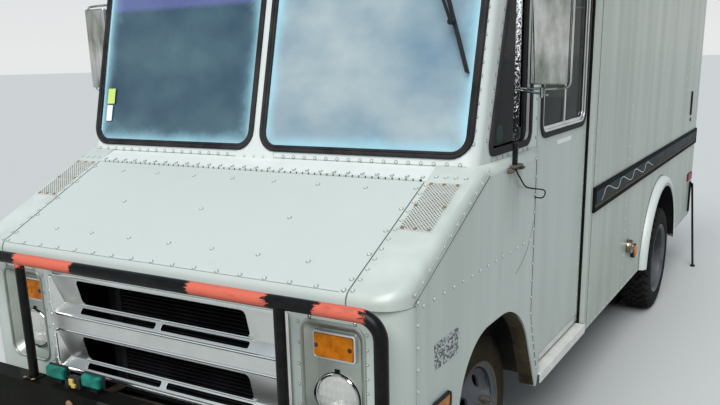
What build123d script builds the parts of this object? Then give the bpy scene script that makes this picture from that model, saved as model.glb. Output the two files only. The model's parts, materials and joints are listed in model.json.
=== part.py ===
from build123d import *
from math import cos, radians, sin, sqrt, tan
import os

# A walk-in step van used as a food truck. Millimetres; the front faces -Y, the driver's side is
# +X, the ground is Z 0, and the origin is under the middle of the whole vehicle.

os.makedirs("parts", exist_ok=True)

# Body planes
half_width = 1080
wall = 30
front_y = -3075
rear_y = 3025
skirt_z = 459
cant_z = 2600
roof_z = 2800
roof_side_radius = 110
floor_z = 740
floor_thick = 40

# Nose, hood and windshield, as side view points (y, z)
nose_y = -3100
nose_z = 1287
nose_seam_z = 1246
hinge_y = -2505
hinge_z = 1572
cowl_y = -2411
cowl_z = 1617
hood_half = 881
seam = 6
hood_thick = 20
corner_radius = 90
shoulder_radius = 45
glass_slope = 0.2609
pane_half = (20, 1014)
pane_z = (1640, 2420)
pillar_half = 1040

# Cab doors slide rearward inside the side walls
door_front_y = -1785
door_rear_y = -815
door_sill_z = 510
door_head_z = 2420
door_outer_x = 1040
door_thick = 30
door_travel = 880
# Cab door posts, set in from the nose sides
post_x = (1012, 1050)
post_y = (-1819, -1680)

# Running gear
front_axle_y = -2065
rear_axle_y = 1315
tyre_radius = 405
tyre_half = 112
front_wheel_x = 815
dual_outer_x = 1000
dual_inner_x = 746
rim_radius = 262
kingpin_x = 695
rail_x = 430
rail_z = (480, 650)
rear_arch_radius = 570

# Bumper and push bar
bumper_top_z = 726
bumper_front_y = -3225
bar_y = -3178
bar_z = 1255
bar_radius = 24

# Rear doors and the serving hatch
rear_door_half = 700
rear_door_z = (765, 2440)
hatch_y = (300, 1800)
hatch_z = (1310, 2190)
gap = 6

sides = (("left", 1), ("right", -1))


def windshield_y(z):
    return -2377 + (z - 1732) * glass_slope


def box(x, y, z, mode=Mode.ADD):
    """A box between two limits on each axis."""
    middle = ((x[0] + x[1]) / 2, (y[0] + y[1]) / 2, (z[0] + z[1]) / 2)
    with Locations(middle):
        Box(abs(x[1] - x[0]), abs(y[1] - y[0]), abs(z[1] - z[0]), mode=mode)


def side_outline(points, x_from, x_to, mode=Mode.ADD, radius=0):
    """A closed side view outline of (y, z) points, made solid from one X to another."""
    with BuildSketch(Plane.YZ.offset(min(x_from, x_to))) as outline:
        with BuildLine():
            Polyline(*points, close=True)
        make_face()
        if radius:
            fillet(outline.vertices(), radius)
    extrude(outline.sketch, amount=abs(x_to - x_from), mode=mode)


def rod(start, end, radius, mode=Mode.ADD):
    """A round bar from one point to another."""
    line = Edge.make_line(start, end)
    with BuildSketch(Plane(origin=start, z_dir=line.tangent_at(0))) as section:
        Circle(radius)
    extrude(section.sketch, amount=line.length, mode=mode)


def ring(points, centre, side, mode=Mode.ADD):
    """A turned form about the X axis, from (outboard, radius) points at a wheel's centre."""
    plane = Plane(origin=centre, x_dir=(side, 0, 0), z_dir=(0, 0, side))
    with BuildSketch(plane) as section:
        with BuildLine():
            Polyline(*points, close=True)
        make_face()
    revolve(section.sketch, axis=Axis(centre, (1, 0, 0)), mode=mode)


def write(piece, name):
    piece.part.label = name
    export_step(piece.part, "parts/" + name + ".step")


# The nose is one sheet form, later split into hood, fender tops, sides and front face

def plan_block(front, radius, half, z_from, z_to):
    """A block with rounded front corners, from its front to behind the cab doors' front edge."""
    back = door_front_y + 50
    with BuildSketch(Plane.XY.offset(z_from)) as plan:
        with Locations((0, (front + back) / 2)):
            Rectangle(2 * half, back - front)
        fillet(plan.vertices().group_by(Axis.Y)[0], radius)
    extrude(plan.sketch, amount=z_to - z_from)


def nose_form(inset):
    """The nose and cab side below the windows, drawn in by an inset."""
    slope = (cowl_z - nose_z) / (cowl_y - nose_y)
    drop = inset * sqrt(1 + slope * slope)
    half = half_width - inset
    top = (
        (nose_y - 100, nose_z - 100 * slope - drop),
        (cowl_y, cowl_z - drop),
        (door_front_y + 100, cowl_z - drop),
        (door_front_y + 100, 1800),
        (nose_y - 100, 1800),
    )
    with BuildPart() as form:
        plan_block(nose_y + inset, corner_radius + 25 - inset, half, nose_seam_z, 1700)
        side_outline(top, -1200, 1200, Mode.SUBTRACT)
        crown = form.edges().filter_by_position(Axis.Z, nose_z - drop - 1, cowl_z + 1)
        back = form.edges().filter_by_position(Axis.Y, door_front_y + 49, door_front_y + 51)
        flat = form.edges().filter_by(Axis.X).filter_by_position(Axis.Y, cowl_y - 5, door_front_y + 60)
        rim = [edge for edge in crown if edge not in back and edge not in flat]
        fillet(rim, shoulder_radius - inset / 2)
        plan_block(front_y + inset, corner_radius - inset, half, skirt_z - 50, nose_seam_z)
    return form.part


nose_outer = nose_form(0)
nose_inner = nose_form(wall)
hood_inner = nose_form(hood_thick)
shell_y = (nose_y - 20, door_front_y)
arch_top_z = 973
arch_radii = (300, 400)

for name, side in sides:
    inner_x = hood_half + seam / 2
    with BuildPart() as nose_side:
        add(nose_outer)
        add(nose_inner, mode=Mode.SUBTRACT)
        box((side * inner_x, side * 1200), shell_y, (skirt_z, 1700), Mode.INTERSECT)
        # The front face is a panel of its own below the nose seam
        face_y = (nose_y - 40, front_y + corner_radius)
        box((side * 700, side * 1200), face_y, (0, nose_seam_z), Mode.SUBTRACT)
        # The cab side above the ledge stands further in, so the top sheet ends at the pillar
        ledge_x = pillar_half - 35
        box((0, side * ledge_x), (cowl_y, door_front_y + 60), (1400, 1700), Mode.SUBTRACT)
        # Door post behind the panel
        box((side * post_x[0], side * post_x[1]), post_y, (door_sill_z, cowl_z))
        # The panel's tail below the door's front edge
        tail = (
            (door_front_y - 80, 865), (door_front_y, 865), (door_front_y + 140, 540),
            (door_front_y + 128, door_sill_z - 2), (door_front_y + 106, skirt_z + 3),
            (door_front_y - 80, skirt_z),
        )
        side_outline(tail, side * (half_width - wall), side * half_width)
        # Front wheel arch, tighter at its front corner than at its rear one
        with BuildSketch(Plane.YZ.offset(side * half_width - 150)) as arch:
            with BuildLine():
                Polyline((front_y + 440, 250), (front_y + 447, arch_top_z), (front_y + 1135, arch_top_z),
                         (front_y + 1480, 250), close=True)
            make_face()
            for place, radius in zip((0, -1), arch_radii):
                fillet(arch.vertices().group_by(Axis.Y)[-1].sort_by(Axis.X)[place], radius)
        extrude(arch.sketch, amount=300, mode=Mode.SUBTRACT)
        # Vent opening in the fender top
        vent_y = (front_y + 305, front_y + 555)
        box((side * 907, side * 1028), vent_y, (1300, 1700), Mode.SUBTRACT)
    write(nose_side, "nose_" + name)

with BuildPart() as hood:
    add(nose_outer)
    add(hood_inner, mode=Mode.SUBTRACT)
    box((-hood_half + seam / 2, hood_half - seam / 2), (nose_y - 5, hinge_y - seam / 2),
        (nose_seam_z + 4, 1700), Mode.INTERSECT)
    # Stiffening ribs under the lid, clear of the engine
    for rib_x in (-560, 560):
        side_outline(
            ((nose_y + 120, 1310), (hinge_y - 40, 1508), (hinge_y - 40, 1545), (nose_y + 120, 1330)),
            rib_x - 15, rib_x + 15)
write(hood, "hood")

# Front face with pressed headlamp pans
pan_x = (685, 935)
pan_z = (760, 1171)
pan_back = front_y + 55
lamp_x = 803
lamp_z = 887
with BuildPart() as nose_front:
    add(nose_outer)
    add(nose_inner, mode=Mode.SUBTRACT)
    box((-1200, 1200), (nose_y - 5, front_y + corner_radius - 2), (skirt_z, nose_seam_z - 2), Mode.INTERSECT)
    box((-600, 600), (front_y - 10, front_y + 60), (400, 1190), Mode.SUBTRACT)
    for _, side in sides:
        box((side * (pan_x[0] - 12), side * (pan_x[1] + 12)), (front_y + wall, pan_back),
            (pan_z[0] - 12, pan_z[1] + 12))
        with BuildSketch(Plane.XZ.offset(-front_y)) as pan:
            with Locations((side * (pan_x[0] + pan_x[1]) / 2, (pan_z[0] + pan_z[1]) / 2)):
                RectangleRounded(pan_x[1] - pan_x[0], pan_z[1] - pan_z[0], 44)
        extrude(pan.sketch, amount=front_y + 10 - pan_back, taper=14, mode=Mode.SUBTRACT)
        rod((side * lamp_x, front_y, lamp_z), (side * lamp_x, front_y + 80, lamp_z), 94, Mode.SUBTRACT)
write(nose_front, "nose_front")

# Grille: a stamped frame, each row a recess that slopes back to a shelf with two slots
grille_half = 638
grille_face = front_y - 12
# Row table: bead top, opening top, opening bottom, shelf back, bead bottom
grille_rows = ((1178, 1166, 1058, 1046, 1010), (930, 918, 810, 798, 762))
with BuildPart() as grille:
    box((-grille_half, grille_half), (grille_face, front_y), (742, 1190))
    box((-598, 598), (grille_face, front_y + 28), (742, 1188))
    for bead_top, open_top, open_bottom, shelf_z, bead_bottom in grille_rows:
        recess = (
            (grille_face - 5, bead_top),
            (grille_face + 4, bead_top),
            (front_y + 18, shelf_z),
            (grille_face, bead_bottom),
            (grille_face - 5, bead_bottom),
        )
        side_outline(recess, -590, 590, Mode.SUBTRACT)
        box((-446, 446), (grille_face - 5, front_y + 40), (open_bottom, open_top), Mode.SUBTRACT)
        for slot_x in ((-446, -16), (16, 446)):
            box(slot_x, (grille_face - 5, front_y + 40), (bead_bottom + 12, shelf_z - 8), Mode.SUBTRACT)
write(grille, "grille")

with BuildPart() as headlamps:
    for _, side in sides:
        rod((side * lamp_x, pan_back - 10, lamp_z), (side * lamp_x, pan_back - 26, lamp_z), 98)
        rod((side * lamp_x, pan_back - 10, lamp_z), (side * lamp_x, pan_back + 70, lamp_z), 88)
write(headlamps, "headlamps")

# Windshield frame, cab side panels with quarter windows, and the cowl strip
frame_top = cant_z
quarter = ((-2262, 1660), (-1792, 1660), (-1792, 2340), (-2050, 2340))


def cab_upper(inset):
    front_shift = inset * sqrt(1 + glass_slope * glass_slope)
    outline = (
        (windshield_y(cowl_z - 40) + front_shift, cowl_z - 40),
        (windshield_y(frame_top) + front_shift, frame_top),
        (post_y[1], frame_top),
        (post_y[1], cowl_z - 40),
    )
    with BuildPart() as form:
        side_outline(outline, inset - pillar_half, pillar_half - inset)
        lean = form.edges().filter_by(lambda e: abs(e.tangent_at(0).X) < 0.01)
        lean = lean.filter_by(lambda e: e.center().Y < windshield_y(2100) + front_shift + 10)
        lean = lean.filter_by(lambda e: e.length > 500)
        fillet(lean, 60 - inset * 0.7)
    return form.part


glass_plane = Plane(origin=(0, windshield_y(2030), 2030), x_dir=(1, 0, 0), z_dir=(0, -1, glass_slope))
pane_centre_x = (pane_half[0] + pane_half[1]) / 2
pane_rise = (pane_z[1] - pane_z[0]) * sqrt(1 + glass_slope * glass_slope)
pane_width = pane_half[1] - pane_half[0]

with BuildPart() as front_frame:
    add(cab_upper(0))
    add(cab_upper(35), mode=Mode.SUBTRACT)
    box((-1200, 1200), (-2700, -1500), (cowl_z, frame_top), Mode.INTERSECT)
    for _, side in sides:
        with BuildSketch(glass_plane) as pane:
            with Locations((side * pane_centre_x, 0)):
                RectangleRounded(pane_width - 44, pane_rise - 44, 70)
        extrude(pane.sketch, amount=80, both=True, mode=Mode.SUBTRACT)
        side_outline(quarter, side * 900, side * 1200, Mode.SUBTRACT, radius=45)
        # Packer between the panel and the header over the door
        box((side * 1035, side * post_x[1]), (door_front_y, post_y[1]), (door_head_z, frame_top))
    # Cowl strip between the hood hinge and the windshield
    slope = (cowl_z - nose_z) / (cowl_y - nose_y)
    cowl = (
        (hinge_y + seam / 2, hinge_z + 1),
        (cowl_y + 40, cowl_z + 12),
        (cowl_y + 40, cowl_z - 30),
        (hinge_y + seam / 2, hinge_z - 35),
    )
    side_outline(cowl, -hood_half - seam / 2, hood_half + seam / 2)
write(front_frame, "front_frame")

with BuildPart() as fixed_glass:
    for _, side in sides:
        with BuildSketch(glass_plane.offset(-14)) as pane:
            with Locations((side * pane_centre_x, 0)):
                RectangleRounded(pane_width - 45, pane_rise - 45, 69)
        extrude(pane.sketch, amount=-8)
        inner = [(y + (1 if y < -2000 else -1), z + (1 if z < 2000 else -1)) for y, z in quarter]
        side_outline(inner, side * 1019, side * 1027, radius=44)
write(fixed_glass, "fixed_glass")

# Roof cap and roof in one pressing


def roof_form(inset):
    front_shift = inset * sqrt(1 + glass_slope * glass_slope)
    low = cant_z - (5 if inset else 0)
    high = roof_z - inset
    outline = (
        (windshield_y(low) + front_shift, low),
        (windshield_y(high) + front_shift, high),
        (rear_y - inset, high),
        (rear_y - inset, low),
    )
    with BuildPart() as form:
        side_outline(outline, inset - half_width, half_width - inset)
        corners = form.edges().filter_by(lambda e: abs(e.tangent_at(0).X) < 0.01)
        corners = corners.filter_by(lambda e: abs(e.tangent_at(0).Z) > 0.5)
        corners = corners.filter_by(lambda e: e.center().Y < -1900)
        fillet(corners, 130 - inset)
        top = form.faces().sort_by(Axis.Z)[-1]
        rim = top.edges().filter_by(lambda e: e.center().Y < rear_y - 40)
        fillet(rim, roof_side_radius - inset)
    return form.part


with BuildPart() as roof:
    add(roof_form(0))
    add(roof_form(wall), mode=Mode.SUBTRACT)
write(roof, "roof")

with BuildPart() as roof_vent:
    rod((0, 700, roof_z), (0, 700, roof_z + 60), 190)
    rod((0, 700, roof_z + 60), (0, 700, roof_z + 100), 250)
    fillet(roof_vent.faces().sort_by(Axis.Z)[-1].edges(), 25)
write(roof_vent, "roof_vent")

# Body sides with the door opening, rear arch and raised flare; the kerb side has the hatch
arch_z = 430
for name, side in sides:
    skin = (side * (half_width - wall), side * half_width)
    with BuildPart() as body_side:
        outline = (
            (door_rear_y, skirt_z), (rear_y, skirt_z), (rear_y, cant_z),
            (door_front_y, cant_z), (door_front_y, door_head_z), (door_rear_y, door_head_z),
        )
        side_outline(outline, *skin)
        centre = (side * half_width, rear_axle_y, arch_z)
        flare = ((0, rear_arch_radius - 1), (45, rear_arch_radius - 1), (45, rear_arch_radius + 8),
                 (0, rear_arch_radius + 62))
        ring(flare, centre, side)
        below = (-300, skirt_z + 28)
        box((side * 900, side * 1300), (rear_axle_y - 700, rear_axle_y + 700), below, Mode.SUBTRACT)
        opening = ((-60, 0), (60, 0), (60, rear_arch_radius), (-60, rear_arch_radius))
        ring(opening, centre, side, Mode.SUBTRACT)
        box(skin, (rear_axle_y - 700, rear_axle_y - rear_arch_radius + 2), (skirt_z, skirt_z + 28))
        box(skin, (rear_axle_y + rear_arch_radius - 2, rear_axle_y + 700), (skirt_z, skirt_z + 28))
        if name == "right":
            box((-1200, -900), hatch_y, hatch_z, Mode.SUBTRACT)
    write(body_side, "side_" + name)

with BuildPart() as serving_hatch:
    box((-half_width, wall - half_width), (hatch_y[0] + gap, hatch_y[1] - gap),
        (hatch_z[0] + gap, hatch_z[1] - gap))
write(serving_hatch, "serving_hatch")

with BuildPart() as kitchen_counter:
    box((-1048, -480), (hatch_y[0] - 50, hatch_y[1] + 50), (1190, 1225))
    box((-500, -480), (hatch_y[0] - 50, hatch_y[1] + 50), (floor_z, 1190))
    for end_y in (hatch_y[0] - 50, hatch_y[1] + 30):
        box((-578, -480), (end_y, end_y + 20), (floor_z, 1190))
write(kitchen_counter, "kitchen_counter")

# Rear wall and its two leaves
with BuildPart() as rear_frame:
    inner_half = half_width - wall
    box((-inner_half, inner_half), (rear_y - wall, rear_y), (skirt_z, cant_z))
    opening_half = rear_door_half + gap
    box((-opening_half, opening_half), (rear_y - 60, rear_y + 10),
        (rear_door_z[0] - gap, rear_door_z[1] + gap), Mode.SUBTRACT)
write(rear_frame, "rear_frame")

for name, side in sides:
    with BuildPart() as rear_door:
        box((side * 3, side * rear_door_half), (rear_y - wall, rear_y), rear_door_z)
        box((side * 130, side * 570), (rear_y - 60, rear_y + 10), (1560, 2160), Mode.SUBTRACT)
    write(rear_door, "rear_door_" + name)

# Cab doors
door_y = (-1669, -790)
door_z = (door_sill_z + 20, door_head_z + 35)
door_x = (door_outer_x - door_thick, door_outer_x)
door_window = ((-1619, 1664), (-886, 1664), (-886, 2340), (-1619, 2340))
for name, side in sides:
    with BuildPart() as cab_door:
        box((side * door_x[0], side * door_x[1]), door_y, door_z)
        side_outline(door_window, side * 900, side * 1100, Mode.SUBTRACT, radius=60)
    write(cab_door, "cab_door_" + name)
    with BuildPart() as door_glass:
        inset = [(y + (1 if y < -1200 else -1), z + (1 if z < 1900 else -1)) for y, z in door_window]
        side_outline(inset, side * (door_x[0] + 11), side * (door_x[0] + 19), radius=59)
    write(door_glass, "door_glass_" + name)

# Floor pan with step wells, wheelhouses, firewall and cross sills
house_front = (-2660, -1560)
house_rear = (rear_axle_y - 600, rear_axle_y + 600)
pocket_end = door_y[1] + door_travel + 30
# Cross sills: y, half length
cross_sills = (
    (-1700, 440), (-1250, 620), (-600, 980), (0, 980), (600, 1040), (2050, 1040), (2700, 1040),
)
with BuildPart() as floor:
    box((-1000, 1000), (-2480, pocket_end), (floor_z - floor_thick, floor_z))
    box((-1050, 1050), (pocket_end, rear_y - wall), (floor_z - floor_thick, floor_z))
    box((-1000, 1000), (-2480, -2460), (floor_z, 1530))
    for _, side in sides:
        # Step well from the sill up to the floor
        box((side * 640, side * 1004), (house_front[1] - 20, -810), (skirt_z + 8, floor_z))
        box((side * 660, side * 1110), (house_front[1], -830), (door_sill_z, floor_z + 20), Mode.SUBTRACT)
        box((side * 1000, side * 1090), (-1655, -835), (skirt_z + 8, door_sill_z))
        box((side * 1000, side * 1050), (-835, pocket_end + 20), (skirt_z + 8, door_sill_z))
        box((side * 1000, side * 1050), (pocket_end, pocket_end + 20), (skirt_z + 8, floor_z))
        # Front wheelhouse, wider ahead of the door
        box((side * 455, side * 1000), (house_front[0], house_front[1]), (floor_z - floor_thick, 995))
        box((side * 455, side * 1050), (house_front[0], post_y[0] - 6), (floor_z - floor_thick, 995))
        box((side * 475, side * 1200), (house_front[0] + 20, house_front[1] - 20), (0, 975), Mode.SUBTRACT)
        # Rear wheelhouse
        box((side * 580, side * 1050), house_rear, (floor_z - floor_thick, 1025))
        box((side * 600, side * 1200), (house_rear[0] + 20, house_rear[1] - 20), (0, 1005), Mode.SUBTRACT)
    box((-340, 340), (-2600, -1780), (600, 1150), Mode.SUBTRACT)
    for sill_y, sill_half in cross_sills:
        box((-sill_half, sill_half), (sill_y - 25, sill_y + 25), (rail_z[1], floor_z - floor_thick))
write(floor, "floor")

with BuildPart() as engine_cover:
    box((-365, 365), (-2460, -1755), (floor_z, 1190))
    fillet(engine_cover.edges().filter_by(Axis.Y).group_by(Axis.Z)[-1], 60)
    box((-340, 340), (-2500, -1780), (600, 1165), Mode.SUBTRACT)
write(engine_cover, "engine_cover")

engine_back = -1930
with BuildPart() as engine:
    box((-260, 260), (-2700, engine_back), (440, 1110))
write(engine, "engine")

with BuildPart() as radiator:
    box((-430, 430), (-2830, -2780), (rail_z[1], 1160))
write(radiator, "radiator")

# Steering column and dashboard
wheel_centre = Vector(500, -1955, 1420)
column_axis = Vector(0, cos(radians(50)), sin(radians(50)))
with BuildPart() as dashboard:
    box((-1000, 1000), (-2460, -2230), (1340, 1530))
    fillet(dashboard.edges().filter_by(Axis.X).group_by(Axis.Y)[-1], 30)
    rod(wheel_centre - column_axis * 530, wheel_centre - column_axis * 42, 26)
    box((470, 530), (-2240, -2010), (1345, 1385))
write(dashboard, "dashboard")

with BuildPart() as steering_wheel:
    rim_plane = Plane(origin=wheel_centre, x_dir=(1, 0, 0), z_dir=column_axis)
    with BuildSketch(Plane(origin=wheel_centre + Vector(215, 0, 0), x_dir=(1, 0, 0),
                           z_dir=column_axis.cross(Vector(1, 0, 0)))) as rim_section:
        Circle(13)
    revolve(rim_section.sketch, axis=Axis(wheel_centre, column_axis))
    rod(wheel_centre - column_axis * 36, wheel_centre + column_axis * 8, 42)
    for turn in (90, 210, 330):
        reach = rim_plane.from_local_coords(Vector(210 * cos(radians(turn)), 210 * sin(radians(turn)), 0))
        rod(wheel_centre - column_axis * 12, reach, 9)
write(steering_wheel, "steering_wheel")

with BuildPart() as driver_seat:
    box((320, 560), (-1470, -1180), (floor_z, 1080))
    box((220, 635), (-1560, -1080), (1080, 1210))
    box((220, 635), (-1130, -1020), (1210, 1740))
    long_edges = driver_seat.edges().filter_by(Axis.X)
    fillet(long_edges.group_by(Axis.Y)[0] + long_edges.group_by(Axis.Z)[-1], 40)
write(driver_seat, "driver_seat")

# Ladder frame
with BuildPart() as chassis_frame:
    for _, side in sides:
        box((side * 370, side * rail_x), (bumper_front_y + 90, rear_y - wall), rail_z)
        box((side * 360, side * (rail_x - 8)), (bumper_front_y + 80, 3010), (rail_z[0] + 8, rail_z[1] - 8),
            Mode.SUBTRACT)
    for cross_y in (-3020, -1650, -500, 600, 2000, 2960):
        box((1 - rail_x, rail_x - 1), (cross_y - 35, cross_y + 35), (rail_z[0] + 80, rail_z[1] - 8))
write(chassis_frame, "chassis_frame")

# Springs: y centre, half span, z middle, z end
spring_rows = ((front_axle_y, 520, 375, 447), (rear_axle_y, 640, 312, 445))
with BuildPart() as leaf_springs:
    for _, side in sides:
        for centre_y, half_span, low_z, end_z in spring_rows:
            with BuildSketch(Plane.YZ.offset(side * 400 - 30)) as leaf:
                with BuildLine():
                    ThreePointArc((centre_y - half_span, end_z), (centre_y, low_z),
                                  (centre_y + half_span, end_z))
                    Line((centre_y + half_span, end_z), (centre_y + half_span, rail_z[0]))
                    Line((centre_y + half_span, rail_z[0]), (centre_y + half_span - 45, rail_z[0]))
                    ThreePointArc((centre_y + half_span - 45, rail_z[0]), (centre_y, low_z + 36),
                                  (centre_y - half_span + 45, rail_z[0]))
                    Line((centre_y - half_span + 45, rail_z[0]), (centre_y - half_span, rail_z[0]))
                    Line((centre_y - half_span, rail_z[0]), (centre_y - half_span, end_z))
                make_face()
            extrude(leaf.sketch, amount=60)
write(leaf_springs, "leaf_springs")

axle_z = tyre_radius
beam_end = kingpin_x - 20
with BuildPart() as front_axle:
    with BuildSketch(Plane.XZ.offset(-front_axle_y - 30)) as beam:
        with BuildLine():
            Polyline((-beam_end, 440), (-beam_end, 372), (-545, 300), (545, 300), (beam_end, 372),
                     (beam_end, 440), (530, 372), (-530, 372), close=True)
        make_face()
    extrude(beam.sketch, amount=60)
    for _, side in sides:
        pin = (side * kingpin_x, front_axle_y)
        rod((*pin, axle_z - 50), (*pin, axle_z + 50), 38)
        rod((*pin, axle_z - 60), (*pin, axle_z + 60), 17, Mode.SUBTRACT)
write(front_axle, "front_axle")

plate_x = (kingpin_x + 45, kingpin_x + 72)
for name, side in sides:
    pin = (side * kingpin_x, front_axle_y)
    with BuildPart() as knuckle:
        for low in (axle_z - 80, axle_z + 55):
            rod((*pin, low), (*pin, low + 25), 36)
            box((side * kingpin_x, side * plate_x[1]), (front_axle_y - 30, front_axle_y + 30),
                (low, low + 25))
        box((side * plate_x[0], side * plate_x[1]), (front_axle_y - 36, front_axle_y + 36),
            (axle_z - 80, axle_z + 80))
        rod((*pin, axle_z - 80), (*pin, axle_z + 80), 16)
        rod((side * plate_x[1], front_axle_y, axle_z), (side * (plate_x[1] + 158), front_axle_y, axle_z), 30)
    write(knuckle, "knuckle_" + name)

with BuildPart() as rear_axle:
    rod((-640, rear_axle_y, axle_z), (640, rear_axle_y, axle_z), 55)
    rod((-900, rear_axle_y, axle_z), (900, rear_axle_y, axle_z), 35)
    with Locations((0, rear_axle_y, axle_z)):
        Sphere(165)
    rod((0, rear_axle_y, axle_z), (0, rear_axle_y - 330, axle_z + 20), 60)
    rod((0, rear_axle_y - 320, axle_z + 20), (0, engine_back + 20, 500), 42)
    rod((0, engine_back, 500), (0, engine_back + 30, 500), 52)
write(rear_axle, "rear_axle")

# Tyre and rim in section, as (outboard, radius) from the tyre's middle
tyre_section = (
    (-90, 240), (-90, rim_radius), (-100, rim_radius + 2), (-tyre_half, 300), (-tyre_half, 352),
    (-98, 388), (-82, tyre_radius), (82, tyre_radius), (98, 388), (tyre_half, 352), (tyre_half, 300),
    (100, rim_radius + 2), (90, rim_radius), (90, 240),
)
hand_holes = 8
for name, side in sides:
    centre = (side * front_wheel_x, front_axle_y, axle_z)
    with BuildPart() as wheel_front:
        ring(tyre_section, centre, side)
        ring(((56, 242), (120, 146), (120, 70), (132, 70), (132, 150), (70, 242)), centre, side)
        ring(((-40, 31), (-40, 75), (60, 75), (118, 95), (135, 95), (150, 80), (185, 62), (192, 40),
              (192, 0), (116, 0), (116, 31)), centre, side)
        ring(((-60, 165), (-60, 190), (30, 190), (30, 70), (20, 70), (20, 165)), centre, side)
        for hole in range(hand_holes):
            turn = radians(360 / hand_holes * hole)
            spot = (front_axle_y + 196 * cos(turn), axle_z + 196 * sin(turn))
            rod((side * (front_wheel_x + 45), *spot), (side * (front_wheel_x + 150), *spot), 25, Mode.SUBTRACT)
    write(wheel_front, "wheel_front_" + name)

    centre = (0, rear_axle_y, axle_z)
    with BuildPart() as wheel_rear:
        for tyre_x in (dual_outer_x, dual_inner_x):
            ring([(tyre_x + x, r) for x, r in tyre_section], centre, side)
        ring(((960, 242), (879, 150), (879, 70), (889, 70), (889, 146), (975, 242)), centre, side)
        ring(((786, 242), (867, 150), (867, 70), (857, 70), (857, 146), (771, 242)), centre, side)
        ring(((655, 36), (655, 75), (840, 75), (860, 95), (892, 95), (895, 82), (985, 76), (1000, 60),
              (1000, 0), (906, 0), (906, 36)), centre, side)
        ring(((660, 165), (660, 190), (850, 190), (850, 70), (840, 70), (840, 165)), centre, side)
        for hole in range(hand_holes):
            turn = radians(360 / hand_holes * hole)
            spot = (rear_axle_y + 196 * cos(turn), axle_z + 196 * sin(turn))
            rod((side * 856, *spot), (side * 990, *spot), 25, Mode.SUBTRACT)
    write(wheel_rear, "wheel_rear_" + name)

with BuildPart() as fuel_tank:
    box((-985, -480), (-650, 350), (410, 648))
    fillet(fuel_tank.edges().filter_by(Axis.Y), 40)
write(fuel_tank, "fuel_tank")

pipe_z = 385
pipe_radius = 28
with BuildPart() as exhaust:
    with BuildLine() as pipe:
        FilletPolyline((180, engine_back, 500), (180, engine_back + 130, 500),
                       (180, engine_back + 300, pipe_z), (180, -222, pipe_z), (980, 260, pipe_z), radius=90)
    with BuildSketch(Plane(origin=pipe.line @ 0, z_dir=pipe.line % 0)) as bore:
        Circle(pipe_radius)
    sweep(bore.sketch, path=pipe.wire())
    rod((180, -1000, pipe_z), (180, -350, pipe_z), 80)
write(exhaust, "exhaust")

# Bumper, push bar, lamps
number_plate_x = -70
number_plate_z = 640
number_plate_pitch = 177.8
with BuildPart() as front_bumper:
    box((-1060, 1060), (bumper_front_y, bumper_front_y + 90), (500, bumper_top_z))
    box((-1070, 1070), (bumper_front_y + 8, bumper_front_y + 100), (508, bumper_top_z - 8), Mode.SUBTRACT)
    # Two holes for a number plate
    for hole_x in (number_plate_x - number_plate_pitch / 2, number_plate_x + number_plate_pitch / 2):
        rod((hole_x, bumper_front_y - 5, number_plate_z), (hole_x, bumper_front_y + 20, number_plate_z), 3.5,
            Mode.SUBTRACT)
write(front_bumper, "front_bumper")

bar_half = 1054
bar_post_x = 669
bar_bend = 75
with BuildPart() as push_bar:
    with BuildLine() as route:
        FilletPolyline((-bar_half, bar_y, bumper_top_z), (-bar_half, bar_y, bar_z), (bar_half, bar_y, bar_z),
                       (bar_half, bar_y, bumper_top_z), radius=bar_bend)
    with BuildSketch(Plane(origin=route.line @ 0, z_dir=route.line % 0)) as tube:
        Circle(bar_radius)
    sweep(tube.sketch, path=route.wire())
    for _, side in sides:
        rod((side * bar_post_x, bar_y, bumper_top_z), (side * bar_post_x, bar_y, bar_z), 20)
write(push_bar, "push_bar")

# Signal lamps as boxes: x from, x to, y from, y to, z from, z to, mirrored or single
lamp_boxes = (
    (712, 877, pan_back - 30, pan_back - 10, 1034, 1117, True),
    (half_width, half_width + 15, front_y + 205, front_y + 360, 770, 845, True),
    (half_width, half_width + 18, front_y + 3640, front_y + 3720, 615, 675, True),
    (half_width, half_width + 10, rear_y - 80, rear_y - 20, 820, 870, True),
    (780, 980, rear_y, rear_y + 28, 590, 690, True),
    (850, 900, windshield_y(2660) - 20, windshield_y(2660), 2660, 2690, True),
    (-65, 65, windshield_y(2660) - 20, windshield_y(2660), 2660, 2690, False),
    (-575, -466, bumper_front_y + 35, bumper_front_y + 72, bumper_top_z + 24, bumper_top_z + 76, False),
    (-357, -248, bumper_front_y + 35, bumper_front_y + 72, bumper_top_z + 24, bumper_top_z + 76, False),
    (-555, -486, bumper_front_y + 42, bumper_front_y + 66, bumper_top_z, bumper_top_z + 24, False),
    (-337, -268, bumper_front_y + 42, bumper_front_y + 66, bumper_top_z, bumper_top_z + 24, False),
)
with BuildPart() as signal_lamps:
    for x0, x1, y0, y1, z0, z1, mirrored in lamp_boxes:
        box((x0, x1), (y0, y1), (z0, z1))
        if mirrored:
            box((-x0, -x1), (y0, y1), (z0, z1))
write(signal_lamps, "signal_lamps")

with BuildPart() as rub_rails:
    for _, side in sides:
        box((side * half_width, side * (half_width + 14)), (-775, rear_y - 2), (1148, 1291))
write(rub_rails, "rub_rails")

with BuildPart() as rear_bumper:
    box((-900, 900), (3105, -bumper_front_y), (470, 610))
    box((-910, 910), (3095, -bumper_front_y - 8), (478, 602), Mode.SUBTRACT)
    for _, side in sides:
        box((side * 375, side * 425), (rear_y, -bumper_front_y - 4), (500, 606))
    # Hole for a tow ball in the step
    rod((0, 3165, 590), (0, 3165, 620), 12.9, Mode.SUBTRACT)
write(rear_bumper, "rear_bumper")

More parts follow.
